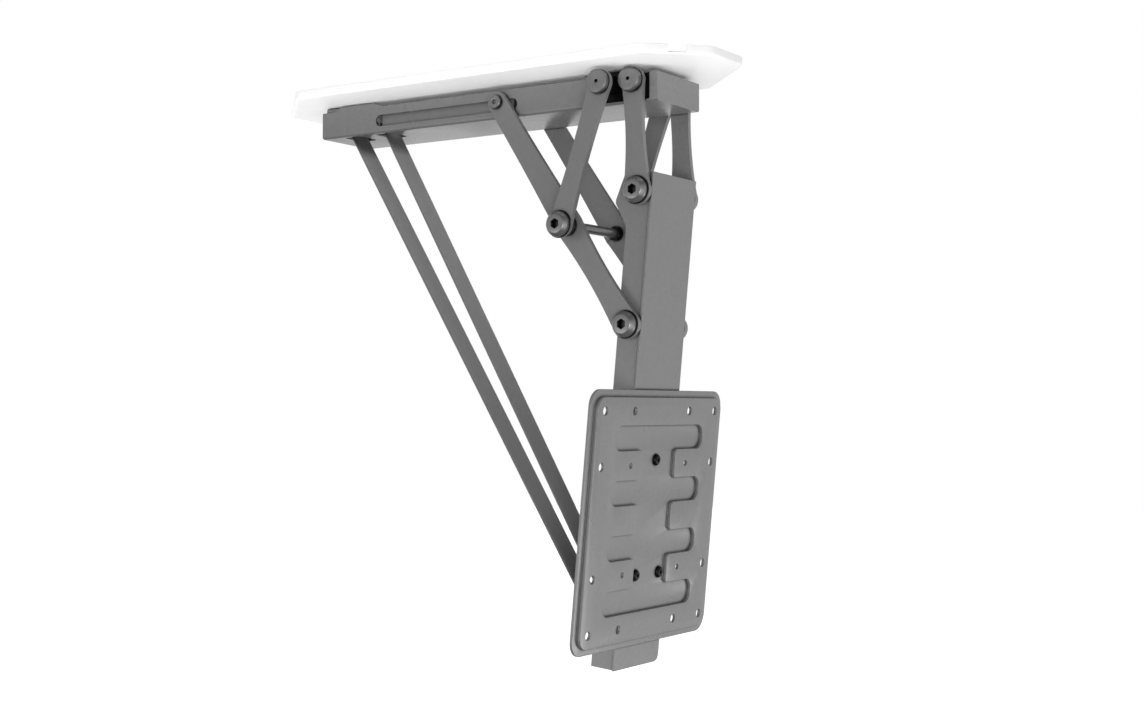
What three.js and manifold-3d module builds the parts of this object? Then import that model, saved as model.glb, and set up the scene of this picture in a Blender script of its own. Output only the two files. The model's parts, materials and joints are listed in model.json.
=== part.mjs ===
// Flip-down ceiling lift for a television, in millimetres.
// X is the width, the screen side faces -Y and +Z is up.
// The origin is the middle of the face that lies against the ceiling.
// The pose is the lowered one: the plate hangs almost upright below the channel.

import * as THREE from 'three';
import { mergeVertices } from 'three/addons/utils/BufferGeometryUtils.js';
import Module from 'manifold-3d';

const wasm = await Module();
wasm.setup();

// Shared clearances and counts
const clearance = 0.3;
const boreClearance = 0.25;
const cutOverrun = 3;
const pinSides = 24;
const headSides = 32;
const holeSides = 16;
const arcSteps = 6;
const sidesOfHex = 6;

// Ceiling pan
const panLength = 533.5;
const panWidth = 181;
const panHeight = 8.5;
const panWall = 2;
const panFloor = 2;
const panSmallChamfer = 48;
const panLargeChamfer = 76;
const panCornerRadius = 14;
const notchWidth = 17.5;
const notchFromCorner = 34;
const mountPlateLength = 400;
const mountPlateWidth = 110;
const mountPlateThickness = 3;
const mountScrewDiameter = 7;
const mountScrewInset = 14;
const mountPlateShift = 8;

// Channel that hangs below the pan
const channelWidth = 78;
const channelFrontY = -206.5;
const channelLength = 407.5;
const channelFloorZ = -41.4;
const channelHeight = 27.2;
const channelSheet = 2;
const channelFoldRadius = 3;
const earRise = 4.8;
const earRamp = 6;
const frontEarStart = -182;
const frontEarLength = 54;
const backEarStart = 119;
const backEarLength = 64.6;
const backEarFrontRamp = 17;
const backEarBackRamp = 9.4;
const windowFrontY = -198;
const windowLength = 48;
const windowFootRise = 0.3;
const windowTopStrip = 1;
const windowCornerRadius = 1;
const slotHeight = 11.6;
const slotDropFromPin = 2.3;
const slotEndRoom = 2.8;

// Pivots of the linkage at rest
const frontPivotY = -183.05;
const frontPivotZ = -21.4;
const rearPivotBehindFront = 26.2;
const rearPivotBelowFront = 1.6;
const sliderBehindFront = 153.9;
const sliderBelowFront = 5.1;
const sliderTravel = 149;
const crossPivotFromSlider = 150.5;

// Column and plate, in the leaning frame of the plate
const plateForward = 180.25;
const plateDrop = 425;
const leanDegrees = 5.34;
const degreesPerHalfTurn = 180;
const pivotDepth = 20.8;
const upperPivotHeight = 301.3;
const lowerPivotHeight = 177.8;
const columnAboveUpperPivot = 17.7;
const columnBottom = -141;
const columnFront = 7;
const columnBack = 34;
const coverWidth = 80;
const coverSheet = 2.5;
const coverCornerRadius = 7;
const columnSheet = 2.5;
const columnWidth = 73;
const columnEarReach = 14;
const columnEarTopReach = 4.7;
const columnEarHeight = 29;
const columnEarFoot = 51;
const bossRadius = 11;

// Links
const linkThickness = 5;
const innerLinkFace = 40.3;
const outerLinkFace = 55.3;
const linkEndRadius = 13.8;
const sliderLinkTopRadius = 10.3;
const sliderLinkUpperWaist = 11.2;
const sliderLinkLowerWaist = 10.6;
const braceLinkTopRadius = 11.5;
const braceLinkEndRadius = 12;
const braceLinkWaist = 9.2;
const topLinkEndRadius = 11.5;
const topLinkWaist = 9.2;
const pinRadius = 5;
const crossShaftRadius = 4;
const crossCollarRadius = 7;
const crossCollarLength = 4;
const shoulderRadius = 9;
const headRadius = 11.6;
const headFaceRadius = 8.6;
const headHeight = 7.7;
const headRimHeight = 2.7;
const headSocketRadius = 3.6;
const headSocketDepth = 4;
const capRadius = 10.8;
const frontCapHeight = 7.7;
const rearCapHeight = 5.4;
const capChamfer = 0.8;
const capDimpleRadius = 1.7;
const capDimpleDepth = 1.6;
const sliderPinRadius = 3;
const sliderHeadRadius = 6.4;
const sliderHeadHeight = 3.6;
const sliderHeadChamfer = 1;

// Guide rails and rollers behind the slots
const railSheet = 1.2;
const railDepth = 4.4;
const railInsideHeight = 17.6;
const railFrontRoom = 12;
const railBackRoom = 5.6;
const rollerRadius = 5.5;
const rollerLength = 2.5;

// Inner brackets of the fixed pivots
const bracketSheet = 2.3;
const bracketFrontY = -202;
const bracketLength = 82;

// Hanger bridges and their bolts
const bridgeLength = 20;
const bridgeSheet = 2.5;
const frontBridgeY = -134;
const backBridgeY = 187;
const hangerBoltRadius = 4;
const hangerBoltSpread = 20;
const hangerHeadRadius = 6.5;
const hangerHeadHeight = 5;

// Winch inside the channel
const drumBehindFront = 343.8;
const drumZ = -26;
const drumShaftRadius = 4;
const drumHubRadius = 8;
const drumRollRadius = 11.3;
const drumFlangeRadius = 12.8;
const drumFlangeThickness = 1.8;
const motorRadius = 12.5;
const motorLength = 110;
const gearboxLength = 36;
const gearboxWidth = 22;
const gearboxHeight = 25;
const winchOffset = 12;
const controlBoxLength = 70;
const controlBoxWidth = 50;
const controlBoxHeight = 20;
const controlBoxCenterY = -48;

// Plate that carries the drum shaft and the belt's bar beside the left wall
const winchPlateSheet = 2.3;
const winchPlateBackRoom = 15.9;

// Lifting belt
const beltWidth = 26;
const beltThickness = 1.8;
const beltCenterX = -19;
const beltAnchorBehindFront = 313.8;
const beltAnchorRadius = 4;
const beltAnchorFoot = 3;
const beltAnchorFootLength = 18;
const beltRollerRadius = 8.5;
const beltRollerDepth = 24.4;
const beltRollerHeight = -103;
const beltRollerLength = 28;
const beltAxleRadius = 4;
const beltSlotLength = 22;
const beltSlotWidth = 29;
const beltSlotRadius = 7;
const backSlotBehindFront = 347.5;
const frontSlotBehindFront = 306.5;

// Plate for the screen
const plateHalf = 119;
const plateCornerRadius = 15;
const plateSheet = 2.7;
const plateStep = 4;
const plateRim = 6.5;
const plateHoleEdge = 19;
const plateHoleRadius = 4.1;
const plateSmallHoleRadius = 2.8;
const recessSideRoom = 39;
const recessTopRoom = 32.3;
const recessBarHeight = 23;
const recessBarRadius = 10.5;
const recessInnerBar = 25;
const spineHalfWidth = 30;
const spineCornerRadius = 3;
const plateScrewSide = 21;
const plateScrewTop = 54;
const plateScrewBottom = -53;
const plateScrewRadius = 3;
const plateScrewHeadRadius = 4.9;
const plateScrewHeadHeight = 3;
const plateScrewSocketRadius = 1.8;
const plateScrewSocketDepth = 1.6;

// Colours of the finishes
const steelGrey = 0x6f7072;
const innerBlack = 0x1b1b1c;
const zincGrey = 0x9a9c9f;
const panWhite = 0xf2f2f0;
const beltGrey = 0x4a4b4d;
const nylonDark = 0x2a2b2d;
const boltDark = 0x3b3c3e;

const lean = Math.PI * leanDegrees / degreesPerHalfTurn;
const channelWallFace = channelWidth / 2;
const channelWallInner = channelWallFace - channelSheet;
const backBridgeHalf = channelWallInner - clearance;
const frontBridgeHalf = backBridgeHalf - bracketSheet - clearance;
const channelTopZ = channelFloorZ + channelHeight;
const channelInsideZ = channelFloorZ + channelSheet;
const channelBackY = channelFrontY + channelLength;
const earTopZ = channelTopZ + earRise;
const panUnderside = -panHeight;
const innerLinkOuterFace = innerLinkFace + linkThickness;
const outerLinkOuterFace = outerLinkFace + linkThickness;
const columnChannelFront = columnFront + coverSheet + clearance;
const columnHalf = columnWidth / 2;
const columnTop = upperPivotHeight + columnAboveUpperPivot;
const plateHoleOuter = plateHalf - plateHoleEdge;
const plateHoleInner = plateHoleOuter / 2;
const recessHalfWidth = plateHalf - recessSideRoom;
const recessOuterBar = plateHalf - recessTopRoom - recessBarHeight / 2;

// Pivot places in the Y-Z plane
const vec = (y, z) => new THREE.Vector2(y, z);
const fromPlateFrame = (depth, height) => vec(
  depth * Math.cos(lean) - height * Math.sin(lean) - plateForward,
  depth * Math.sin(lean) + height * Math.cos(lean) - plateDrop,
);
const frontPivot = vec(frontPivotY, frontPivotZ);
const rearPivot = vec(frontPivotY + rearPivotBehindFront, frontPivotZ - rearPivotBelowFront);
const sliderPivot = vec(frontPivotY + sliderBehindFront, frontPivotZ - sliderBelowFront);
const upperPivot = fromPlateFrame(pivotDepth, upperPivotHeight);
const lowerPivot = fromPlateFrame(pivotDepth, lowerPivotHeight);
const sliderLinkDirection = lowerPivot.clone().sub(sliderPivot).normalize();
const crossPivot = sliderPivot.clone().addScaledVector(sliderLinkDirection, crossPivotFromSlider);
const drumAxis = vec(frontPivotY + drumBehindFront, drumZ);
const beltAnchor = vec(frontPivotY + beltAnchorBehindFront, drumZ);
const beltRollerAxis = fromPlateFrame(beltRollerDepth, beltRollerHeight);

// Finishes
const finish = (name, color, roughness, metalness) => new THREE.MeshStandardMaterial({
  name, color, roughness, metalness,
});
const steel = () => finish('painted_steel', steelGrey, 0.5, 0.2);
const blackSteel = () => finish('black_steel', innerBlack, 0.5, 0.4);
const zinc = () => finish('zinc_steel', zincGrey, 0.35, 0.9);
const white = () => finish('white_paint', panWhite, 0.45, 0);
const webbing = () => finish('webbing', beltGrey, 0.9, 0);
const nylon = () => finish('nylon', nylonDark, 0.55, 0);
const bolt = () => finish('bolt_steel', boltDark, 0.4, 0.6);

const sides = [['left', -1], ['right', 1]];

// Turns a closed geometry into a solid that can be joined and cut
function solid(geometry) {
  const bare = geometry.clone();
  bare.deleteAttribute('normal');
  bare.deleteAttribute('uv');
  const welded = mergeVertices(bare);
  return new wasm.Manifold(new wasm.Mesh({
    numProp: 3,
    vertProperties: new Float32Array(welded.attributes.position.array),
    triVerts: new Uint32Array(welded.index.array),
  }));
}

// Turns a solid back into a geometry
function geometryOf(body) {
  const mesh = body.getMesh();
  const geometry = new THREE.BufferGeometry();
  geometry.setAttribute('position', new THREE.BufferAttribute(mesh.vertProperties, mesh.numProp));
  geometry.setIndex(new THREE.BufferAttribute(mesh.triVerts, 1));
  geometry.computeVertexNormals();
  return geometry;
}

const cut = (body, ...tools) => tools.reduce((rest, tool) => rest.subtract(tool), body);
const join = (body, ...others) => others.reduce((whole, other) => whole.add(other), body);

// Box between two corners
function box(x0, x1, y0, y1, z0, z1) {
  const geometry = new THREE.BoxGeometry(x1 - x0, y1 - y0, z1 - z0);
  geometry.translate((x0 + x1) / 2, (y0 + y1) / 2, (z0 + z1) / 2);
  return solid(geometry);
}

// Prism of an X-Y shape, from z0 up to z1
function prismZ(shape, z0, z1) {
  const geometry = new THREE.ExtrudeGeometry(shape, {
    depth: z1 - z0, bevelEnabled: false, curveSegments: arcSteps,
  });
  geometry.translate(0, 0, z0);
  return solid(geometry);
}

// Prism of a Y-Z shape, from x0 to x1
function prismX(shape, x0, x1) {
  const geometry = new THREE.ExtrudeGeometry(shape, {
    depth: x1 - x0, bevelEnabled: false, curveSegments: arcSteps,
  });
  geometry.rotateY(Math.PI / 2);
  geometry.rotateX(Math.PI / 2);
  geometry.translate(x0, 0, 0);
  return solid(geometry);
}

// Prism of an X-Z shape, from y0 back to y1
function prismY(shape, y0, y1) {
  const geometry = new THREE.ExtrudeGeometry(shape, {
    depth: y1 - y0, bevelEnabled: false, curveSegments: arcSteps,
  });
  geometry.rotateX(Math.PI / 2);
  geometry.translate(0, y1, 0);
  return solid(geometry);
}

// Round bar along X about a Y-Z place
function rodX(place, x0, x1, radius, segments = pinSides) {
  const geometry = new THREE.CylinderGeometry(radius, radius, x1 - x0, segments);
  geometry.rotateZ(Math.PI / 2);
  geometry.translate((x0 + x1) / 2, place.x, place.y);
  return solid(geometry);
}

// Round bar along Y about an X-Z place
function rodY(x, z, y0, y1, radius, segments = holeSides) {
  const geometry = new THREE.CylinderGeometry(radius, radius, y1 - y0, segments);
  geometry.translate(x, (y0 + y1) / 2, z);
  return solid(geometry);
}

// Round bar along Z about an X-Y place
function rodZ(x, y, z0, z1, radius, segments = holeSides) {
  const geometry = new THREE.CylinderGeometry(radius, radius, z1 - z0, segments);
  geometry.rotateX(Math.PI / 2);
  geometry.translate(x, y, (z0 + z1) / 2);
  return solid(geometry);
}

// Body turned about X from a profile of radius and height, standing on x0 and pointing to one side
function turnedX(profile, place, x0, side, segments = headSides) {
  const geometry = new THREE.LatheGeometry(profile.map(([r, h]) => vec(r, h)), segments);
  geometry.rotateZ(-Math.PI / 2);
  const body = side > 0 ? solid(geometry) : solid(geometry).mirror([1, 0, 0]);
  return body.translate([side * x0, place.x, place.y]);
}

// Closed outline with its corners rounded by one radius each
function roundedOutline(corners, radii) {
  const shape = new THREE.Shape();
  corners.forEach((corner, i) => {
    const before = corners[(i + corners.length - 1) % corners.length];
    const after = corners[(i + 1) % corners.length];
    const radius = Array.isArray(radii) ? radii[i] : radii;
    const toBefore = before.clone().sub(corner).normalize();
    const toAfter = after.clone().sub(corner).normalize();
    const turn = Math.acos(THREE.MathUtils.clamp(toBefore.dot(toAfter), -1, 1));
    const reach = radius / Math.tan(turn / 2);
    const start = corner.clone().addScaledVector(toBefore, reach);
    const end = corner.clone().addScaledVector(toAfter, reach);
    if (i === 0) shape.moveTo(start.x, start.y);
    else shape.lineTo(start.x, start.y);
    if (radius > 0) shape.quadraticCurveTo(corner.x, corner.y, end.x, end.y);
  });
  shape.closePath();
  return shape;
}

function roundedRectangle(halfWidth, halfHeight, radius, x = 0, y = 0) {
  return roundedOutline([
    vec(x - halfWidth, y - halfHeight), vec(x + halfWidth, y - halfHeight),
    vec(x + halfWidth, y + halfHeight), vec(x - halfWidth, y + halfHeight),
  ], radius);
}

// Outline of a link with round ends and a waist between them
function linkOutline(from, to, fromRadius, toRadius, waist) {
  const axis = to.clone().sub(from);
  const length = axis.length();
  const along = axis.clone().normalize();
  const across = vec(-along.y, along.x);
  const at = (s, t) => from.clone().addScaledVector(along, s).addScaledVector(across, t);
  const control = 2 * waist - (fromRadius + toRadius) / 2;
  const heading = Math.atan2(along.y, along.x);
  const quarter = Math.PI / 2;
  const start = at(0, fromRadius);
  const upperBow = at(length / 2, control);
  const upperEnd = at(length, toRadius);
  const lowerBow = at(length / 2, -control);
  const shape = new THREE.Shape();
  shape.moveTo(start.x, start.y);
  shape.quadraticCurveTo(upperBow.x, upperBow.y, upperEnd.x, upperEnd.y);
  shape.absarc(to.x, to.y, toRadius, heading + quarter, heading - quarter, true);
  const lowerStart = at(0, -fromRadius);
  shape.quadraticCurveTo(lowerBow.x, lowerBow.y, lowerStart.x, lowerStart.y);
  shape.absarc(from.x, from.y, fromRadius, heading - quarter, heading - 3 * quarter, true);
  return shape;
}

// Plate between two X faces on one side of the middle plane
function platesX(shape, face, thickness, side) {
  const x0 = side > 0 ? face : -face - thickness;
  return prismX(shape, x0, x0 + thickness);
}

function sideRod(place, near, far, radius, side, segments = pinSides) {
  return side > 0 ? rodX(place, near, far, radius, segments) : rodX(place, -far, -near, radius, segments);
}

function panOutline(inset) {
  const halfWidth = panWidth / 2 - inset;
  const halfLength = panLength / 2 - inset;
  const shift = inset * (Math.SQRT2 - 1);
  const small = panSmallChamfer - inset + shift;
  const large = panLargeChamfer - inset + shift;
  return roundedOutline([
    vec(-halfWidth + small, -halfLength), vec(halfWidth - large, -halfLength),
    vec(halfWidth, -halfLength + large), vec(halfWidth, halfLength - small),
    vec(halfWidth - small, halfLength), vec(-halfWidth + large, halfLength),
    vec(-halfWidth, halfLength - large), vec(-halfWidth, -halfLength + small),
  ], panCornerRadius - inset);
}

const hangerPlaces = [frontBridgeY, backBridgeY].flatMap((y) => [
  vec(-hangerBoltSpread, y), vec(hangerBoltSpread, y),
]);

function ceilingPan() {
  const shell = prismZ(panOutline(0), panUnderside, 0);
  const hollow = prismZ(panOutline(panWall), panUnderside + panFloor, cutOverrun);
  const chamferMiddle = vec(
    -panWidth / 2 + panSmallChamfer / 2,
    -panLength / 2 + panSmallChamfer / 2,
  );
  const alongChamfer = vec(1, -1).normalize();
  const chamferLength = panSmallChamfer * Math.SQRT2;
  const notchCenter = chamferMiddle.clone().addScaledVector(
    alongChamfer, notchFromCorner - chamferLength / 2,
  );
  const notchTool = new THREE.BoxGeometry(
    notchWidth, 2 * (panWall + cutOverrun), panHeight - panFloor + cutOverrun,
  );
  notchTool.rotateZ(-Math.PI / 4);
  notchTool.translate(
    notchCenter.x, notchCenter.y, (panUnderside + panFloor + cutOverrun) / 2,
  );
  const bores = hangerPlaces.map((p) => rodZ(
    p.x, p.y, panUnderside - cutOverrun, cutOverrun, hangerBoltRadius + boreClearance,
  ));
  return cut(shell, hollow, solid(notchTool), ...bores);
}

function mountPlate() {
  const halfWidth = mountPlateWidth / 2;
  const halfLength = mountPlateLength / 2;
  const blank = box(
    -halfWidth, halfWidth, mountPlateShift - halfLength, mountPlateShift + halfLength,
    -mountPlateThickness, 0,
  );
  const screws = [-1, 0, 1].flatMap((row) => [-1, 1].map((column) => rodZ(
    column * (halfWidth - mountScrewInset),
    mountPlateShift + row * (halfLength - mountScrewInset),
    -mountPlateThickness - cutOverrun, cutOverrun, mountScrewDiameter / 2,
  )));
  const bores = hangerPlaces.map((p) => rodZ(
    p.x, p.y, -mountPlateThickness - cutOverrun, cutOverrun, hangerBoltRadius + boreClearance,
  ));
  return cut(blank, ...screws, ...bores);
}

// Tube that keeps the mounting plate off the pan's floor round a hanger bolt
function hangerSpacerRing(place) {
  const low = panUnderside + panFloor + clearance;
  const high = -mountPlateThickness;
  return cut(
    rodZ(place.x, place.y, low, high, hangerHeadRadius, pinSides),
    rodZ(place.x, place.y, low - cutOverrun, high + cutOverrun, hangerBoltRadius + boreClearance),
  );
}

// Side view of the channel with its raised ears
function channelSide() {
  const earPoints = (start, length, frontRamp, backRamp) => [
    vec(start, channelTopZ), vec(start + frontRamp, earTopZ),
    vec(start + length - backRamp, earTopZ), vec(start + length, channelTopZ),
  ];
  return roundedOutline([
    vec(channelFrontY, channelFloorZ), vec(channelFrontY, channelTopZ),
    ...earPoints(frontEarStart - earRamp, frontEarLength + earRamp, earRamp, earRamp),
    ...earPoints(backEarStart, backEarLength, backEarFrontRamp, backEarBackRamp),
    vec(channelBackY, channelTopZ), vec(channelBackY, channelFloorZ),
  ], 0);
}

function slotOutline(centerZ) {
  const half = slotHeight / 2;
  const start = sliderPivot.x - slotEndRoom;
  const end = sliderPivot.x + sliderTravel + slotEndRoom;
  const shape = new THREE.Shape();
  shape.moveTo(start, centerZ - half);
  shape.lineTo(end, centerZ - half);
  shape.absarc(end, centerZ, half, -Math.PI / 2, Math.PI / 2, false);
  shape.lineTo(start, centerZ + half);
  shape.absarc(start, centerZ, half, Math.PI / 2, 3 * Math.PI / 2, false);
  return shape;
}

function frameChannel() {
  const block = prismX(channelSide(), -channelWallFace, channelWallFace);
  const crossSection = roundedOutline([
    vec(-channelWallFace, channelFloorZ), vec(channelWallFace, channelFloorZ),
    vec(channelWallFace, earTopZ + cutOverrun), vec(-channelWallFace, earTopZ + cutOverrun),
  ], [channelFoldRadius, channelFoldRadius, 0, 0]);
  const folded = block.intersect(prismY(crossSection, channelFrontY, channelBackY));
  const inside = box(
    -channelWallInner, channelWallInner,
    channelFrontY + channelSheet, channelBackY - channelSheet,
    channelInsideZ, earTopZ + cutOverrun,
  );
  const window = roundedRectangle(
    windowLength / 2, (earTopZ - windowTopStrip - channelInsideZ - windowFootRise) / 2,
    windowCornerRadius, windowFrontY + windowLength / 2,
    (earTopZ - windowTopStrip + channelInsideZ + windowFootRise) / 2,
  );
  const through = (shape) => prismX(
    shape, -channelWallFace - cutOverrun, channelWallFace + cutOverrun,
  );
  const slot = slotOutline(sliderPivot.y - slotDropFromPin);
  const beltSlots = [backSlotBehindFront, frontSlotBehindFront].map((behind) => prismZ(
    roundedRectangle(
      beltSlotWidth / 2, beltSlotLength / 2, beltSlotRadius, beltCenterX, frontPivotY + behind,
    ),
    channelFloorZ - cutOverrun, channelInsideZ + cutOverrun,
  ));
  return cut(cut(folded, inside), through(window), through(slot), ...beltSlots);
}

function pivotBracket(side) {
  const outer = channelWallInner - clearance;
  const inner = outer - bracketSheet;
  const x0 = side > 0 ? inner : -outer;
  const plate = box(
    x0, x0 + bracketSheet, bracketFrontY, bracketFrontY + bracketLength,
    channelInsideZ + clearance, earTopZ,
  ).intersect(prismX(channelSide(), x0 - cutOverrun, x0 + bracketSheet + cutOverrun));
  const bores = [frontPivot, rearPivot].map((pivot) => sideRod(
    pivot, inner - cutOverrun, outer + cutOverrun, pinRadius + boreClearance, side,
  ));
  return cut(plate, ...bores);
}

// C-shaped rail that the slide roller runs in, open towards the channel's wall
function guideRail(side) {
  const outer = channelWallInner - clearance;
  const inner = outer - railDepth;
  const low = channelInsideZ + clearance;
  const high = low + railInsideHeight + 2 * railSheet;
  const y0 = sliderPivot.x - railFrontRoom;
  const y1 = sliderPivot.x + sliderTravel + railBackRoom;
  const x0 = side > 0 ? inner : -outer;
  const block = box(x0, x0 + railDepth, y0, y1, low, high);
  const hollowNear = inner + railSheet;
  const hollowFar = outer + cutOverrun;
  const hollow = box(
    side > 0 ? hollowNear : -hollowFar, side > 0 ? hollowFar : -hollowNear,
    y0 - cutOverrun, y1 + cutOverrun, low + railSheet, high - railSheet,
  );
  return cut(block, hollow);
}

// Hat-shaped bridge that ties the channel to the bolts from above
function hangerBridge(centerY, half) {
  const top = panUnderside - clearance;
  const low = channelInsideZ + clearance;
  const y0 = centerY - bridgeLength / 2;
  const y1 = centerY + bridgeLength / 2;
  const block = box(-half, half, y0, y1, low, top);
  const hollow = box(
    -half + bridgeSheet, half - bridgeSheet, y0 - cutOverrun, y1 + cutOverrun,
    low - cutOverrun, top - bridgeSheet,
  );
  const bores = [-1, 1].map((column) => rodZ(
    column * hangerBoltSpread, centerY, top - bridgeSheet - cutOverrun, top + cutOverrun,
    hangerBoltRadius + boreClearance,
  ));
  return cut(block, hollow, ...bores);
}

function hangerBolt(place) {
  const underHead = panUnderside - clearance - bridgeSheet - clearance;
  return join(
    rodZ(place.x, place.y, underHead, 0, hangerBoltRadius, pinSides),
    rodZ(place.x, place.y, underHead - hangerHeadHeight, underHead, hangerHeadRadius, sidesOfHex),
  );
}

// Fixed cross shaft with a shoulder on each side that keeps its links off the walls
function fixedShaft(pivot, shoulderEnd, linkEnd) {
  const shoulderStart = channelWallFace + clearance;
  const shaft = rodX(pivot, -linkEnd, linkEnd, pinRadius);
  const shoulders = sides.map(([, side]) => sideRod(
    pivot, shoulderStart, shoulderEnd - clearance, shoulderRadius, side,
  ));
  return join(shaft, ...shoulders);
}

function pivotCap(pivot, face, height, side) {
  const profile = [
    [0, 0], [capRadius, 0], [capRadius, height - capChamfer], [capRadius - capChamfer, height],
    [capDimpleRadius, height], [0, height - capDimpleDepth],
  ];
  return turnedX(profile, pivot, face + clearance, side);
}

function boltHead(pivot, face, side) {
  const profile = [
    [0, 0], [headRadius, 0], [headRadius, headRimHeight], [headFaceRadius, headHeight], [0, headHeight],
  ];
  const start = face + clearance;
  const socket = sideRod(
    pivot, start + headHeight - headSocketDepth, start + headHeight + cutOverrun,
    headSocketRadius, side, sidesOfHex,
  );
  return cut(turnedX(profile, pivot, start, side), socket);
}

function linkPlate(shapes, face, side, bores) {
  const tools = bores.map(([place, radius]) => sideRod(
    place, face - cutOverrun, face + linkThickness + cutOverrun, radius + boreClearance, side,
  ));
  const plates = shapes.map((shape) => platesX(shape, face, linkThickness, side));
  return cut(join(...plates), ...tools);
}

const sliderLink = (side) => linkPlate(
  [
    linkOutline(
      sliderPivot, crossPivot, sliderLinkTopRadius, linkEndRadius, sliderLinkUpperWaist,
    ),
    linkOutline(crossPivot, lowerPivot, linkEndRadius, linkEndRadius, sliderLinkLowerWaist),
  ],
  innerLinkFace, side,
  [[sliderPivot, sliderPinRadius], [crossPivot, pinRadius], [lowerPivot, pinRadius]],
);
const braceLink = (side) => linkPlate(
  [linkOutline(rearPivot, crossPivot, braceLinkTopRadius, braceLinkEndRadius, braceLinkWaist)],
  outerLinkFace, side, [[rearPivot, pinRadius], [crossPivot, pinRadius]],
);
const topLink = (side) => linkPlate(
  [linkOutline(frontPivot, upperPivot, topLinkEndRadius, linkEndRadius, topLinkWaist)],
  innerLinkFace, side, [[frontPivot, pinRadius], [upperPivot, pinRadius]],
);

// Cross shaft between the two slider links, with a collar against each of them
function crossShaft() {
  const collarEnd = innerLinkFace - clearance;
  const thin = rodX(crossPivot, -collarEnd, collarEnd, crossShaftRadius);
  const collars = sides.map(([, side]) => sideRod(
    crossPivot, collarEnd - crossCollarLength, collarEnd, crossCollarRadius, side,
  ));
  const journals = sides.map(([, side]) => sideRod(
    crossPivot, collarEnd - crossCollarLength, outerLinkOuterFace, pinRadius, side,
  ));
  return join(thin, ...collars, ...journals);
}

function crossSpacer(side) {
  const near = innerLinkOuterFace + clearance;
  const far = outerLinkFace - clearance;
  return cut(
    sideRod(crossPivot, near, far, shoulderRadius, side),
    sideRod(crossPivot, near - cutOverrun, far + cutOverrun, pinRadius + boreClearance, side),
  );
}

// Headed pin that carries the slide roller through the slot
function sliderPin(side) {
  const face = innerLinkOuterFace + clearance;
  const profile = [
    [0, 0], [sliderHeadRadius, 0], [sliderHeadRadius, sliderHeadHeight - sliderHeadChamfer],
    [sliderHeadRadius - sliderHeadChamfer, sliderHeadHeight], [0, sliderHeadHeight],
  ];
  const railInner = channelWallInner - clearance - railDepth + railSheet;
  return join(
    turnedX(profile, sliderPivot, face, side),
    sideRod(sliderPivot, railInner + clearance, face + clearance, sliderPinRadius, side),
  );
}

function slideRoller(side) {
  const near = channelWallInner - clearance - railDepth + railSheet + clearance;
  return cut(
    sideRod(sliderPivot, near, near + rollerLength, rollerRadius, side),
    sideRod(
      sliderPivot, near - cutOverrun, near + rollerLength + cutOverrun,
      sliderPinRadius + boreClearance, side,
    ),
  );
}

// Bolt of the upper column pivot: head and a shank that fills the top link's eye
function upperBolt(side) {
  const shank = sideRod(
    upperPivot, innerLinkFace + clearance, innerLinkOuterFace + clearance + clearance, pinRadius, side,
  );
  return join(boltHead(upperPivot, innerLinkOuterFace, side), shank);
}

// Column pieces are drawn in the leaning frame: x width, y depth, z height
const localUpper = vec(pivotDepth, upperPivotHeight);
const localLower = vec(pivotDepth, lowerPivotHeight);
const localRoller = vec(beltRollerDepth, beltRollerHeight);

function columnChannel() {
  const earTip = columnTop - columnEarHeight;
  const sideView = roundedOutline([
    vec(columnChannelFront, columnBottom), vec(columnBack, columnBottom),
    vec(columnBack, columnTop - columnEarFoot), vec(columnBack + columnEarReach, earTip),
    vec(columnBack + columnEarTopReach, columnTop), vec(columnChannelFront, columnTop),
  ], [0, 0, columnSheet, columnSheet, columnSheet, 0]);
  const block = prismX(sideView, -columnHalf, columnHalf);
  const reach = columnBack + columnEarReach + cutOverrun;
  const inside = box(
    -columnHalf + columnSheet, columnHalf - columnSheet,
    columnChannelFront + columnSheet, reach,
    columnBottom - cutOverrun, columnTop + cutOverrun,
  );
  const bosses = sides.flatMap(([, side]) => [localUpper, localLower].map((pivot) => sideRod(
    pivot, columnHalf - columnSheet / 2, innerLinkFace - clearance, bossRadius, side,
  )));
  const full = innerLinkFace + cutOverrun;
  const bores = [
    rodX(localUpper, -full, full, pinRadius + boreClearance),
    rodX(localLower, -full, full, pinRadius + boreClearance),
    rodX(localRoller, -full, full, beltAxleRadius + boreClearance),
  ];
  const screwHoles = plateScrewPlaces().map((p) => rodY(
    p.x, p.y, columnChannelFront - cutOverrun, columnChannelFront + columnSheet + cutOverrun,
    plateScrewRadius + boreClearance,
  ));
  return cut(join(cut(block, inside), ...bosses), ...bores, ...screwHoles);
}

const plateScrewPlaces = () => [
  vec(0, plateScrewTop), vec(-plateScrewSide, plateScrewBottom), vec(plateScrewSide, plateScrewBottom),
];

function columnCover() {
  const half = coverWidth / 2;
  const face = roundedOutline([
    vec(-half, columnBottom), vec(half, columnBottom), vec(half, columnTop), vec(-half, columnTop),
  ], [0, coverCornerRadius, 0, 0]);
  const holes = plateScrewPlaces().map((p) => rodY(
    p.x, p.y, columnFront - cutOverrun, columnFront + coverSheet + cutOverrun,
    plateScrewRadius + boreClearance,
  ));
  return cut(prismY(face, columnFront, columnFront + coverSheet), ...holes);
}

function upperColumnShaft() {
  const end = innerLinkFace - clearance;
  return rodX(localUpper, -end, end, pinRadius);
}

const lowerColumnShaft = () => rodX(localLower, -innerLinkOuterFace, innerLinkOuterFace, pinRadius);

function beltRollerAxle() {
  return rodX(localRoller, -columnHalf, columnHalf, beltAxleRadius);
}

function beltRoller() {
  const half = beltRollerLength / 2;
  return cut(
    rodX(localRoller, beltCenterX - half, beltCenterX + half, beltRollerRadius),
    rodX(localRoller, beltCenterX - half - cutOverrun, beltCenterX + half + cutOverrun,
      beltAxleRadius + boreClearance),
  );
}

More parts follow.
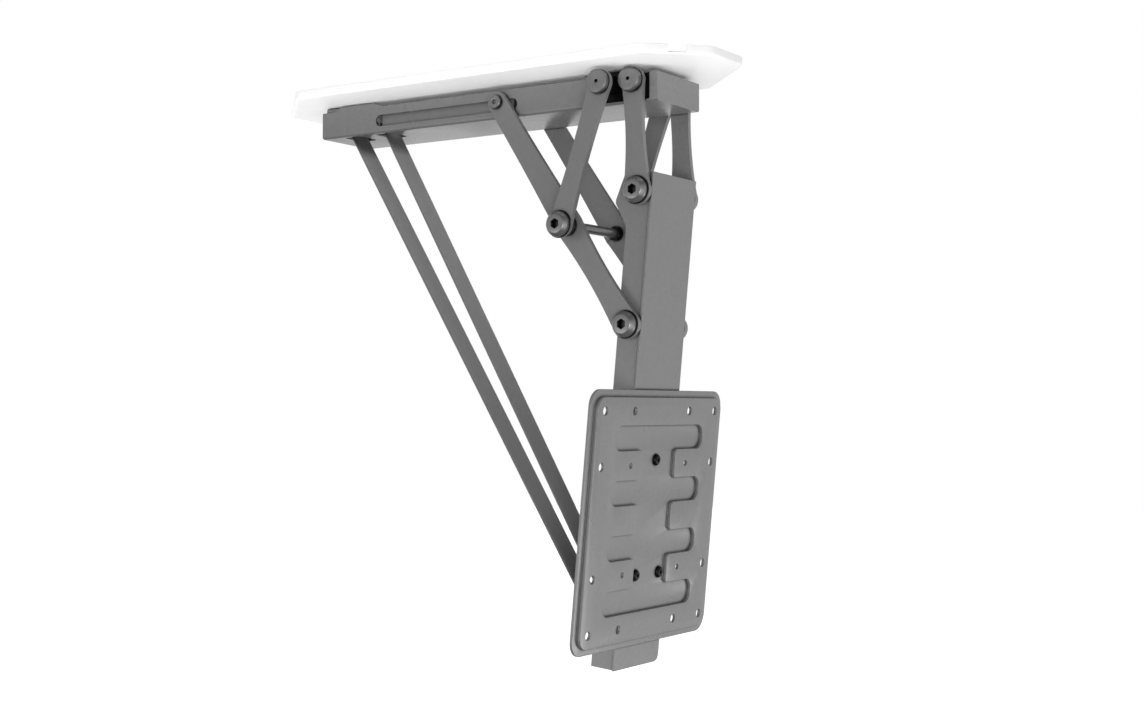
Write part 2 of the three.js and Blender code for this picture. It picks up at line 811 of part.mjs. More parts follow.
// Pressed recess of the plate, grown by a margin for its back side
function recessSolid(margin, y0, y1) {
  const bars = [recessOuterBar, recessInnerBar, -recessInnerBar, -recessOuterBar];
  const barSolids = bars.map((height) => prismY(
    roundedRectangle(
      recessHalfWidth + margin, recessBarHeight / 2 + margin, recessBarRadius + margin, 0, height,
    ), y0, y1,
  ));
  const spine = prismY(roundedRectangle(
    spineHalfWidth + margin, recessOuterBar + recessBarHeight / 2 + margin, spineCornerRadius + margin,
  ), y0, y1);
  return join(spine, ...barSolids);
}

function vesaPlate() {
  const fieldHalf = plateHalf - plateRim;
  const fieldRadius = plateCornerRadius - plateRim / 2;
  const backFace = plateStep + plateSheet;
  const rim = prismY(
    roundedRectangle(plateHalf, plateHalf, plateCornerRadius), plateStep, backFace,
  );
  const field = prismY(roundedRectangle(fieldHalf, fieldHalf, fieldRadius), 0, backFace);
  const pocket = cut(
    prismY(
      roundedRectangle(fieldHalf - plateSheet, fieldHalf - plateSheet, fieldRadius - plateSheet),
      plateSheet, backFace + cutOverrun,
    ),
    recessSolid(plateSheet, 0, backFace + cutOverrun + cutOverrun),
  );
  const steps = [-plateHoleOuter, -plateHoleInner, plateHoleInner, plateHoleOuter];
  const holes = steps.flatMap((x) => steps.map((z) => {
    const small = Math.abs(x) === plateHoleInner && Math.abs(z) === plateHoleInner;
    const radius = small ? plateSmallHoleRadius : plateHoleRadius;
    return rodY(x, z, -cutOverrun, backFace + cutOverrun, radius);
  }));
  const screwHoles = plateScrewPlaces().map((p) => rodY(
    p.x, p.y, -cutOverrun, backFace + cutOverrun, plateScrewRadius + boreClearance,
  ));
  return cut(
    join(rim, field), pocket, recessSolid(0, -cutOverrun, plateStep), ...holes, ...screwHoles,
  );
}

// Screw that holds the plate to the column, with a socket in its head
function plateScrew(place) {
  const underHead = plateStep - clearance;
  const tip = columnChannelFront + columnSheet + clearance;
  const headFront = underHead - plateScrewHeadHeight;
  return cut(
    join(
      rodY(place.x, place.y, headFront, underHead, plateScrewHeadRadius, pinSides),
      rodY(place.x, place.y, underHead - clearance, tip, plateScrewRadius),
    ),
    rodY(
      place.x, place.y, headFront - cutOverrun, headFront + plateScrewSocketDepth,
      plateScrewSocketRadius, sidesOfHex,
    ),
  );
}

// Straight belt run: a thin slab between two places in the Y-Z plane
function beltRun(from, to) {
  const along = to.clone().sub(from).normalize();
  const across = vec(-along.y, along.x).multiplyScalar(beltThickness / 2);
  const shape = roundedOutline([
    from.clone().add(across), from.clone().sub(across), to.clone().sub(across), to.clone().add(across),
  ], 0);
  return prismX(shape, beltCenterX - beltWidth / 2, beltCenterX + beltWidth / 2);
}

// Place where a belt leaves a circle on the way to another place, on one side of the line
function tangentPlace(center, radius, target, side) {
  const line = target.clone().sub(center);
  const angle = Math.atan2(line.y, line.x) + side * Math.acos(radius / line.length());
  return vec(center.x + radius * Math.cos(angle), center.y + radius * Math.sin(angle));
}

// The belt's middle line: over the drum's back, round the roller, and up to the anchor bar
function beltRoute() {
  const rollerPath = beltRollerRadius + clearance + beltThickness / 2;
  const drumPath = drumRollRadius + clearance + beltThickness / 2;
  const centres = beltRollerAxis.clone().sub(drumAxis);
  const turn = Math.atan2(centres.y, centres.x)
    - Math.acos((rollerPath - drumPath) / centres.length()) + Math.PI;
  const outward = vec(Math.cos(turn), Math.sin(turn));
  const drumEnd = drumAxis.clone().addScaledVector(outward, drumPath);
  const backEnd = beltRollerAxis.clone().addScaledVector(outward, rollerPath);
  const frontEnd = tangentPlace(beltRollerAxis, rollerPath, beltAnchor, 1);
  const toAnchor = beltAnchor.clone().sub(frontEnd);
  const anchorEnd = frontEnd.clone().addScaledVector(
    toAnchor.clone().normalize(), toAnchor.length() - beltAnchorRadius - clearance,
  );
  return { rollerPath, drumEnd, backEnd, frontEnd, anchorEnd };
}

// Half turn of the belt below the roller
function beltWrap(route) {
  const inner = route.rollerPath - beltThickness / 2;
  const outer = route.rollerPath + beltThickness / 2;
  const angleOf = (p) => Math.atan2(p.y - beltRollerAxis.y, p.x - beltRollerAxis.x);
  const gapAngle = clearance / route.rollerPath;
  const start = angleOf(route.frontEnd) + gapAngle;
  const end = angleOf(route.backEnd) + 2 * Math.PI - gapAngle;
  const sweep = (end - start) % (2 * Math.PI);
  const shape = new THREE.Shape();
  shape.absarc(beltRollerAxis.x, beltRollerAxis.y, outer, start, start + sweep, false);
  shape.absarc(beltRollerAxis.x, beltRollerAxis.y, inner, start + sweep, start, true);
  const geometry = new THREE.ExtrudeGeometry(shape, {
    depth: beltWidth, bevelEnabled: false, curveSegments: headSides / 2,
  });
  geometry.rotateY(Math.PI / 2);
  geometry.rotateX(Math.PI / 2);
  geometry.translate(beltCenterX - beltWidth / 2, 0, 0);
  return solid(geometry);
}

function beltDrum() {
  const half = beltWidth / 2 + clearance;
  const near = beltCenterX - half;
  const far = beltCenterX + half;
  const bore = rodX(
    drumAxis, near - drumFlangeThickness - cutOverrun, far + drumFlangeThickness + cutOverrun,
    drumShaftRadius + boreClearance,
  );
  return cut(join(
    rodX(drumAxis, near - drumFlangeThickness, near, drumFlangeRadius),
    rodX(drumAxis, far, far + drumFlangeThickness, drumFlangeRadius),
    rodX(drumAxis, near - drumFlangeThickness / 2, far + drumFlangeThickness / 2, drumHubRadius),
  ), bore);
}

function beltRoll() {
  const half = beltWidth / 2;
  return cut(
    rodX(drumAxis, beltCenterX - half, beltCenterX + half, drumRollRadius),
    rodX(drumAxis, beltCenterX - half - cutOverrun, beltCenterX + half + cutOverrun,
      drumHubRadius + clearance),
  );
}

// Plate beside the left wall with a bore for the drum shaft and one for the belt's bar
function winchPlate() {
  const outer = clearance - channelWallInner;
  const railEnd = sliderPivot.x + sliderTravel + railBackRoom;
  const plate = box(
    outer, outer + winchPlateSheet, railEnd + clearance, drumAxis.x + winchPlateBackRoom,
    channelInsideZ + clearance, channelTopZ,
  );
  const bores = [[drumAxis, drumShaftRadius], [beltAnchor, beltAnchorRadius]].map(([at, radius]) => rodX(
    at, outer - cutOverrun, outer + winchPlateSheet + cutOverrun, radius + boreClearance,
  ));
  return cut(plate, ...bores);
}

const drumShaft = () => rodX(
  drumAxis, clearance - channelWallInner, winchOffset + gearboxWidth / 2, drumShaftRadius,
);

// Bar that the belt's fixed end hangs on, with a foot plate at its inner end
function beltAnchorBar() {
  const footNear = beltCenterX + beltSlotWidth / 2 + clearance;
  const footFar = footNear + beltAnchorFoot;
  return join(
    rodX(beltAnchor, clearance - channelWallInner, footFar, beltAnchorRadius),
    box(
      footNear, footFar, beltAnchor.x - beltAnchorFootLength / 2,
      beltAnchor.x + beltAnchorFootLength / 2,
      channelInsideZ + clearance, beltAnchor.y + beltAnchorRadius,
    ),
  );
}

function gearbox() {
  const y0 = drumAxis.x - gearboxLength / 2;
  const z0 = channelInsideZ + clearance;
  const block = box(
    winchOffset - gearboxWidth / 2, winchOffset + gearboxWidth / 2,
    y0, y0 + gearboxLength, z0, z0 + gearboxHeight,
  );
  return cut(block, rodX(
    drumAxis, winchOffset - gearboxWidth / 2 - cutOverrun, winchOffset + gearboxWidth / 2 + cutOverrun,
    drumShaftRadius + boreClearance,
  ));
}

function motorBody() {
  const y1 = drumAxis.x - gearboxLength / 2 - clearance;
  return rodY(
    winchOffset, channelInsideZ + clearance + motorRadius, y1 - motorLength, y1, motorRadius, headSides,
  );
}

function controlBox() {
  const z0 = channelInsideZ + clearance;
  return box(
    -controlBoxWidth / 2, controlBoxWidth / 2,
    controlBoxCenterY - controlBoxLength / 2, controlBoxCenterY + controlBoxLength / 2,
    z0, z0 + controlBoxHeight,
  );
}

// Adds one named piece to a group
function place(group, name, body, material) {
  const mesh = new THREE.Mesh(geometryOf(body), material);
  mesh.name = name;
  group.add(mesh);
}

function fixedParts() {
  const group = new THREE.Group();
  place(group, 'ceiling_pan', ceilingPan(), white());
  const spacers = hangerPlaces.map(hangerSpacerRing);
  place(group, 'mount_plate', join(mountPlate(), ...spacers), zinc());
  place(group, 'frame_channel', frameChannel(), steel());
  place(group, 'hanger_bridge_front', hangerBridge(frontBridgeY, frontBridgeHalf), steel());
  place(group, 'hanger_bridge_back', hangerBridge(backBridgeY, backBridgeHalf), steel());
  hangerPlaces.forEach((p, i) => place(group, `hanger_bolt_${i + 1}`, hangerBolt(p), zinc()));
  sides.forEach(([name, side]) => {
    place(group, `pivot_bracket_${name}`, pivotBracket(side), blackSteel());
    place(group, `guide_rail_${name}`, guideRail(side), steel());
    place(group, `front_pivot_cap_${name}`,
      pivotCap(frontPivot, innerLinkOuterFace, frontCapHeight, side), steel());
    place(group, `rear_pivot_cap_${name}`,
      pivotCap(rearPivot, outerLinkOuterFace, rearCapHeight, side), steel());
  });
  place(group, 'front_pivot_shaft', fixedShaft(frontPivot, innerLinkFace, innerLinkOuterFace), bolt());
  place(group, 'rear_pivot_shaft', fixedShaft(rearPivot, outerLinkFace, outerLinkOuterFace), bolt());
  place(group, 'motor_body', motorBody(), blackSteel());
  place(group, 'gearbox', gearbox(), zinc());
  place(group, 'winch_plate', winchPlate(), steel());
  place(group, 'drum_shaft', drumShaft(), zinc());
  place(group, 'belt_anchor_bar', beltAnchorBar(), zinc());
  place(group, 'control_box', controlBox(), nylon());
  return group;
}

function winchParts(route) {
  const group = new THREE.Group();
  place(group, 'belt_drum', beltDrum(), nylon());
  place(group, 'belt_roll', beltRoll(), webbing());
  place(group, 'belt_run_back', beltRun(route.drumEnd, route.backEnd), webbing());
  place(group, 'belt_run_front', beltRun(route.anchorEnd, route.frontEnd), webbing());
  place(group, 'belt_wrap', beltWrap(route), webbing());
  return group;
}

function linkParts() {
  const group = new THREE.Group();
  sides.forEach(([name, side]) => {
    place(group, `slider_link_${name}`, sliderLink(side), steel());
    place(group, `brace_link_${name}`, braceLink(side), steel());
    place(group, `top_link_${name}`, topLink(side), steel());
    place(group, `cross_spacer_${name}`, crossSpacer(side), bolt());
    place(group, `cross_bolt_${name}`, boltHead(crossPivot, outerLinkOuterFace, side), steel());
    place(group, `slider_pin_${name}`, sliderPin(side), steel());
    place(group, `slide_roller_${name}`, slideRoller(side), nylon());
    place(group, `upper_bolt_${name}`, upperBolt(side), steel());
  });
  place(group, 'cross_shaft', crossShaft(), steel());
  return group;
}

function columnParts() {
  const group = new THREE.Group();
  group.position.set(0, -plateForward, -plateDrop);
  group.rotation.x = lean;
  place(group, 'column_channel', columnChannel(), steel());
  place(group, 'column_cover', columnCover(), steel());
  place(group, 'upper_column_shaft', upperColumnShaft(), bolt());
  place(group, 'lower_column_shaft', lowerColumnShaft(), bolt());
  sides.forEach(([name, side]) => place(
    group, `lower_bolt_${name}`, boltHead(localLower, innerLinkOuterFace, side), steel(),
  ));
  place(group, 'belt_roller_axle', beltRollerAxle(), zinc());
  place(group, 'belt_roller', beltRoller(), nylon());
  place(group, 'vesa_plate', vesaPlate(), steel());
  plateScrewPlaces().forEach((p, i) => place(group, `plate_screw_${i + 1}`, plateScrew(p), bolt()));
  return group;
}

const lift = new THREE.Group();
lift.name = 'tv_lift_mechanism';
lift.add(fixedParts(), winchParts(beltRoute()), linkParts(), columnParts());

export default lift;
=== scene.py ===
"""Flip-down ceiling lift for a screen: pieces, finishes, lights and camera."""

import json
import logging
import math
from dataclasses import dataclass
from enum import Enum
from typing import Any, Callable, Sequence

import bmesh
import bpy
from mathutils import Matrix, Vector


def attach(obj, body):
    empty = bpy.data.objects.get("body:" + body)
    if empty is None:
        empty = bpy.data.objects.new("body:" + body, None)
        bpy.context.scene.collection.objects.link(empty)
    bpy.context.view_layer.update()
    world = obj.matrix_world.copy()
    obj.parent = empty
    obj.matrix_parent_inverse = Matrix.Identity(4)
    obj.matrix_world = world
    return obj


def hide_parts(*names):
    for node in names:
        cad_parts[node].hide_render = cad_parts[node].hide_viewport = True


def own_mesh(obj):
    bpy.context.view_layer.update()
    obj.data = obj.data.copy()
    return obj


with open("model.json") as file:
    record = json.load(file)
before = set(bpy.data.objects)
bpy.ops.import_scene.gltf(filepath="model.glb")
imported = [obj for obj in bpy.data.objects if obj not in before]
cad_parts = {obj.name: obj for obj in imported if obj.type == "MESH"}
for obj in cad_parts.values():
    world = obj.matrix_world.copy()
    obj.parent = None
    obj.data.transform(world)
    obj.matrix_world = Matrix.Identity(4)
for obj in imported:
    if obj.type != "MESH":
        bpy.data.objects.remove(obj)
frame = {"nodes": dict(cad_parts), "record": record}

LOG = logging.getLogger("lift")
MM = 0.001
GAP = 0.3
PAST = 3.0
SIDES: tuple[tuple[str, int], ...] = (("left", -1), ("right", 1))
LEANING = (
    Matrix.Translation((0, -180.25 * MM, -425 * MM))
    @ Matrix.Rotation(math.radians(5.34), 4, "X")
)

Pair = tuple[float, float]
Triple = tuple[float, float, float]
Solid = bmesh.types.BMesh
Socket = bpy.types.NodeSocket


class Axis(Enum):
    """Direction that a prism, rod or turned body runs along."""

    X = Matrix(((0, 0, 1, 0), (1, 0, 0, 0), (0, 1, 0, 0), (0, 0, 0, 1)))
    Y = Matrix(((1, 0, 0, 0), (0, 0, -1, 0), (0, 1, 0, 0), (0, 0, 0, 1)))
    Z = Matrix(((1, 0, 0, 0), (0, 1, 0, 0), (0, 0, 1, 0), (0, 0, 0, 1)))


class Join(Enum):
    """How one solid changes another."""

    ADD = "UNION"
    CUT = "DIFFERENCE"
    KEEP_COMMON = "INTERSECT"


Change = tuple[Join, Sequence[Solid]]


@dataclass(frozen=True)
class Corner:
    """Corner of an outline, in millimetres, with its rounding."""

    u: float
    v: float
    radius: float = 0.0


@dataclass(frozen=True)
class Edges:
    """Finish of a piece's edges: their rounding in millimetres, or none."""

    width: float = 0.3
    steps: int = 2
    angle: float = 35.0


@dataclass(frozen=True)
class Pivots:
    """Pivot places of the linkage in the Y-Z plane, in millimetres."""

    front: Pair = (-183.05, -21.4)
    rear: Pair = (-156.85, -23.0)
    slider: Pair = (-29.15, -26.5)
    cross: Pair = (-112.861, -151.571)
    upper: Pair = (-187.581, -123.072)
    lower: Pair = (-176.087, -246.036)
    drum: Pair = (160.75, -26.0)
    anchor: Pair = (130.75, -26.0)
    roller: Pair = (-146.370, -525.282)
    shaft: float = 5.0
    bore: float = 5.25
    pin: float = 3.0
    pin_bore: float = 3.25


@dataclass(frozen=True)
class Layers:
    """Places of the sheet layers across the lift, in millimetres from the middle."""

    wall: float = 39.0
    wall_inside: float = 37.0
    sheet: float = 2.0
    inner: float = 40.3
    inner_face: float = 45.3
    outer: float = 55.3
    outer_face: float = 60.3
    link: float = 5.0
    floor: float = -39.1


PIVOTS = Pivots()
LAYERS = Layers()


class Bench:
    """Tools that make and change solids."""

    @staticmethod
    def rectangle(u: Pair, v: Pair, *radii: float) -> list[Corner]:
        """Makes the outline of a rectangle.

        Args:
            u: ends along the first direction, in millimetres.
            v: ends along the second.
            radii: one rounding for all corners, or one for each.

        Returns:
            The corners.
        """
        places = ((u[0], v[0]), (u[1], v[0]), (u[1], v[1]), (u[0], v[1]))
        rounding = radii if len(radii) > 1 else (radii or (0.0,)) * 4
        return [Corner(*place, r) for place, r in zip(places, rounding)]

    @staticmethod
    def round_off(
        bm: Solid, edges: Sequence[bmesh.types.BMEdge], width: float, steps: int
    ) -> None:
        """Rounds edges of a solid.

        Args:
            bm: the solid.
            edges: the edges.
            width: how far the rounding reaches, in millimetres.
            steps: faces across it.
        """
        bmesh.ops.bevel(
            bm, geom=edges, offset=width * MM, offset_type="OFFSET", affect="EDGES",
            segments=steps, profile=0.5, material=-1, clamp_overlap=False,
        )

    @staticmethod
    def prism(
        corners: Sequence[Corner], low: float, high: float, axis: Axis = Axis.Z, arc: int = 8
    ) -> Solid:
        """Makes a straight solid with rounded upright edges.

        Args:
            corners: outline, in millimetres.
            low: start along the axis.
            high: end along the axis.
            axis: direction that the solid runs along.
            arc: faces in each rounded corner.

        Returns:
            The solid, in metres.
        """
        if axis is Axis.Y:
            low, high = -high, -low
        bm = bmesh.new()
        base = [bm.verts.new((c.u * MM, c.v * MM, low * MM)) for c in corners]
        grown = bmesh.ops.extrude_face_region(bm, geom=[bm.faces.new(base)])
        top = [g for g in grown["geom"] if isinstance(g, bmesh.types.BMVert)]
        bmesh.ops.translate(bm, verts=top, vec=(0, 0, (high - low) * MM))
        bmesh.ops.holes_fill(bm, edges=[e for e in bm.edges if e.is_boundary], sides=0)
        upright: dict[float, list[bmesh.types.BMEdge]] = {}
        for i, corner in enumerate(corners):
            if corner.radius <= 0:
                continue
            here = Vector((corner.u, corner.v))
            before, after = (
                Vector((c.u, c.v)) - here for c in (corners[i - 1], corners[(i + 1) % len(corners)])
            )
            reach = corner.radius / math.tan(before.angle(after) / 2)
            for edge in base[i].link_edges:
                span = edge.other_vert(base[i]).co - base[i].co
                if abs(span.z) > abs(span.x) + abs(span.y):
                    upright.setdefault(round(reach, 4), []).append(edge)
        for reach, edges in upright.items():
            Bench.round_off(bm, edges, reach, arc)
        bmesh.ops.recalc_face_normals(bm, faces=bm.faces[:])
        bmesh.ops.transform(bm, matrix=axis.value, verts=bm.verts[:])
        return bm

    @staticmethod
    def block(x: Pair, y: Pair, z: Pair) -> Solid:
        """Makes a straight-edged solid between its ends along X, Y and Z."""
        return Bench.prism(Bench.rectangle(x, y), *z)

    @staticmethod
    def rod(
        axis: Axis, place: Pair, low: float, high: float, radius: float, sides: int = 48
    ) -> Solid:
        """Makes a round bar.

        Args:
            axis: direction of the bar.
            place: its place across the axis, in millimetres.
            low: start along the axis.
            high: end along the axis.
            radius: in millimetres.
            sides: faces round it.

        Returns:
            The bar, in metres.
        """
        if axis is Axis.Y:
            low, high = -high, -low
        bm = bmesh.new()
        spot = Matrix.Translation((place[0] * MM, place[1] * MM, (low + high) / 2 * MM))
        bmesh.ops.create_cone(
            bm, cap_ends=True, cap_tris=False, segments=sides, radius1=radius * MM,
            radius2=radius * MM, depth=(high - low) * MM, matrix=axis.value @ spot,
        )
        return bm

    @staticmethod
    def side_rod(
        place: Pair, near: float, far: float, radius: float, side: int, sides: int = 48
    ) -> Solid:
        """Makes a round bar along X between two distances from the middle, on one side."""
        return Bench.rod(Axis.X, place, *sorted((side * near, side * far)), radius, sides)

    @staticmethod
    def facing(place: Pair, start: float, side: int) -> Matrix:
        """Gives the stand of a turned body that points outwards along X on one side."""
        spot = Matrix.Translation((side * start * MM, place[0] * MM, place[1] * MM))
        half_turn = Matrix.Rotation(math.pi * (side < 0), 4, "Z")
        return spot @ half_turn @ Matrix.Rotation(math.pi / 2, 4, "Y")

    @staticmethod
    def turned(profile: Sequence[Pair], stand: Matrix, steps: int = 64) -> Solid:
        """Spins a profile into a solid.

        Args:
            profile: radius and height pairs, in millimetres.
            stand: place and direction of the axis.
            steps: faces round the body.

        Returns:
            The body, in metres.
        """
        bm = bmesh.new()
        verts = [bm.verts.new((r * MM, 0, h * MM)) for r, h in profile]
        edges = [bm.edges.new(pair) for pair in zip(verts, verts[1:])]
        bmesh.ops.spin(
            bm, geom=verts + edges, cent=(0, 0, 0), axis=(0, 0, 1), dvec=(0, 0, 0),
            angle=math.tau, steps=steps, use_merge=True, use_duplicate=False,
        )
        bmesh.ops.remove_doubles(bm, verts=bm.verts[:], dist=1e-6)
        bmesh.ops.transform(bm, matrix=stand, verts=bm.verts[:])
        bmesh.ops.recalc_face_normals(bm, faces=bm.faces[:])
        return bm

    @staticmethod
    def show(name: str, data: bpy.types.ID) -> bpy.types.Object:
        """Makes an object of some data and links it to the scene."""
        made = bpy.data.objects.new(name, data)
        bpy.context.scene.collection.objects.link(made)
        return made

    @staticmethod
    def piece(name: str, bm: Solid) -> bpy.types.Object:
        """Makes an object of a solid.

        Args:
            name: the object's name.
            bm: the solid, which is freed.

        Returns:
            The object, linked to the scene.
        """
        mesh = bpy.data.meshes.new(name)
        bm.to_mesh(mesh)
        bm.free()
        return Bench.show(name, mesh)

    @staticmethod
    def take(piece: bpy.types.Object) -> Solid:
        """Turns a piece back into a solid.

        Args:
            piece: the piece, which is removed.

        Returns:
            The solid.
        """
        bm = bmesh.new()
        bm.from_mesh(piece.data)
        bpy.data.objects.remove(piece)
        return bm

    @staticmethod
    def change(piece: bpy.types.Object, how: Join, solids: Sequence[Solid]) -> None:
        """Adds solids to a piece, cuts them from it or keeps what is common.

        Args:
            piece: the piece that changes.
            how: the kind of change.
            solids: solids that stand apart from each other, which are freed.
        """
        whole = bmesh.new()
        for bm in solids:
            scrap = bpy.data.meshes.new("scrap")
            bm.to_mesh(scrap)
            bm.free()
            whole.from_mesh(scrap)
            bpy.data.meshes.remove(scrap)
        tool = Bench.piece("tool", whole)
        step = piece.modifiers.new(how.name.lower(), "BOOLEAN")
        step.operation = how.value
        step.solver = "EXACT"
        step.object = tool
        Bench.settle(piece)
        bpy.data.objects.remove(tool)

    @staticmethod
    def settle(piece: bpy.types.Object) -> None:
        """Applies every modifier of a piece.

        Args:
            piece: the piece.
        """
        bpy.context.view_layer.update()
        graph = bpy.context.evaluated_depsgraph_get()
        mesh = bpy.data.meshes.new_from_object(piece.evaluated_get(graph))
        old = piece.data
        piece.modifiers.clear()
        piece.data = mesh
        bpy.data.meshes.remove(old)

    @staticmethod
    def soften(piece: bpy.types.Object, edges: Edges, keep_live: bool = True) -> None:
        """Rounds the sharp edges of a piece and shades it smooth.

        Args:
            piece: the piece.
            edges: how the edges are finished.
            keep_live: whether the modifier stays on the piece.
        """
        if edges.width:
            bevel = piece.modifiers.new("edges", "BEVEL")
            bevel.width = edges.width * MM
            bevel.segments = edges.steps
            bevel.limit_method = "ANGLE"
            bevel.angle_limit = math.radians(edges.angle)
            bevel.use_clamp_overlap = True
            bevel.miter_outer = "MITER_ARC"
            bevel.harden_normals = keep_live
        if not keep_live:
            Bench.settle(piece)
        piece.data.shade_smooth()
        if not edges.width:
            piece.data.set_sharp_from_angle(angle=math.radians(edges.angle))


class Nodes:
    """Adds nodes to one tree and joins them."""

    def __init__(self, tree: bpy.types.NodeTree) -> None:
        """Keeps the tree."""
        self.tree = tree

    def fill(self, node: bpy.types.Node, inputs: dict[str | int, Any]) -> bpy.types.Node:
        """Joins or sets inputs of a node.

        Args:
            node: the node.
            inputs: for each input, an output to join or a plain value.

        Returns:
            The same node.
        """
        for key, value in inputs.items():
            if isinstance(value, Socket):
                self.tree.links.new(value, node.inputs[key])
            else:
                node.inputs[key].default_value = value
        return node

    def add(
        self, kind: str, inputs: dict[str | int, Any] | None = None, **settings: Any
    ) -> bpy.types.Node:
        """Adds a node.

        Args:
            kind: its kind.
            inputs: what its inputs get.
            settings: what its own settings get.

        Returns:
            The node.
        """
        node = self.tree.nodes.new(f"ShaderNode{kind}")
        for key, value in settings.items():
            setattr(node, key, value)
        return self.fill(node, inputs or {})

    def math(self, kind: str, first: Socket | float, second: Socket | float = 0.0) -> Socket:
        """Adds a math node and gives its output."""
        return self.add("Math", {0: first, 1: second}, operation=kind).outputs[0]

    def blend(self, first: Socket, share: float, second: Socket) -> Socket:
        """Adds a share of one value to the rest of another."""
        return self.math(
            "ADD", self.math("MULTIPLY", first, share), self.math("MULTIPLY", second, 1 - share)
        )

    def noise(self, vector: Socket, scale: Socket | float, detail: float) -> Socket:
        """Adds a noise and gives its value."""
        inputs = {"Vector": vector, "Scale": scale, "Detail": detail}
        return self.add("TexNoise", inputs).outputs["Fac"]

    def remap(self, value: Socket, source: Pair, target: Pair, **settings: Any) -> Socket:
        """Maps one range of a value to another.

        Args:
            value: the value.
            source: the range that it has.
            target: the range that it gets.
            settings: settings of the node.

        Returns:
            The new value.
        """
        inputs = {
            "Value": value, "From Min": source[0], "From Max": source[1],
            "To Min": target[0], "To Max": target[1],
        }
        return self.add("MapRange", inputs, **settings).outputs["Result"]


class Effects:
    """Shader node groups that several finishes use."""

    def __init__(self) -> None:
        """Builds each group once."""
        self.grain = self._grain()
        self.handling = self._handling()
        self.weave = self._weave()

    @staticmethod
    def _open(name: str, **inputs: float) -> tuple[Nodes, bpy.types.NodeOutputs]:
        """Starts a group with a vector and some numbers as its inputs.

        Args:
            name: the group's name.
            inputs: each number with its default.

        Returns:
            The group's nodes, and its inputs as they come out inside.
        """
        tree = bpy.data.node_groups.new(name, "ShaderNodeTree")
        tree.interface.new_socket(
            name="Vector", in_out="INPUT", socket_type="NodeSocketVector"
        )
        for key, value in inputs.items():
            tree.interface.new_socket(
                name=key, in_out="INPUT", socket_type="NodeSocketFloat"
            ).default_value = value
        return Nodes(tree), tree.nodes.new("NodeGroupInput").outputs

    @staticmethod
    def _close(nodes: Nodes, **outputs: Socket) -> bpy.types.ShaderNodeTree:
        """Ends a group.

        Args:
            nodes: the group's nodes.
            outputs: what each output gives.

        Returns:
            The group.
        """
        for key in outputs:
            nodes.tree.interface.new_socket(
                name=key, in_out="OUTPUT", socket_type="NodeSocketFloat"
            )
        nodes.fill(nodes.tree.nodes.new("NodeGroupOutput"), outputs)
        return nodes.tree

    def _grain(self) -> bpy.types.ShaderNodeTree:
        """Fine orange-peel of a powder coat or a cast plastic."""
        nodes, given = self._open("fine_grain", Scale=900.0)
        fine = nodes.noise(given["Vector"], given["Scale"], 2.0)
        wide = nodes.noise(given["Vector"], nodes.math("MULTIPLY", given["Scale"], 0.21), 3.0)
        return self._close(nodes, Height=nodes.blend(fine, 0.6, wide), Tone=wide)

    def _handling(self) -> bpy.types.ShaderNodeTree:
        """Slow change of sheen left by handling and dust."""
        nodes, given = self._open("handling", Scale=14.0)
        slow = nodes.noise(given["Vector"], given["Scale"], 5.0)
        return self._close(nodes, Mask=nodes.remap(slow, (0.38, 0.72), (0, 1)))

    def _weave(self) -> bpy.types.ShaderNodeTree:
        """Plain weave of a webbing, on its own map in millimetres."""
        nodes, given = self._open("webbing_weave", Warp=1.1, Weft=1.5)
        parts = nodes.add("SeparateXYZ", {0: given["Vector"]}).outputs
        across, along = (
            nodes.math(
                "SINE",
                nodes.math("MULTIPLY", nodes.math("DIVIDE", parts[way], given[pitch]), math.pi),
            )
            for way, pitch in (("X", "Warp"), ("Y", "Weft"))
        )
        ribs = nodes.math("ABSOLUTE", across)
        check = nodes.math("MULTIPLY", across, along)
        fuzz = nodes.noise(given["Vector"], 3.0, 4.0)
        return self._close(
            nodes, Height=nodes.blend(check, 0.5, ribs), Shade=nodes.blend(ribs, 0.6, fuzz)
        )


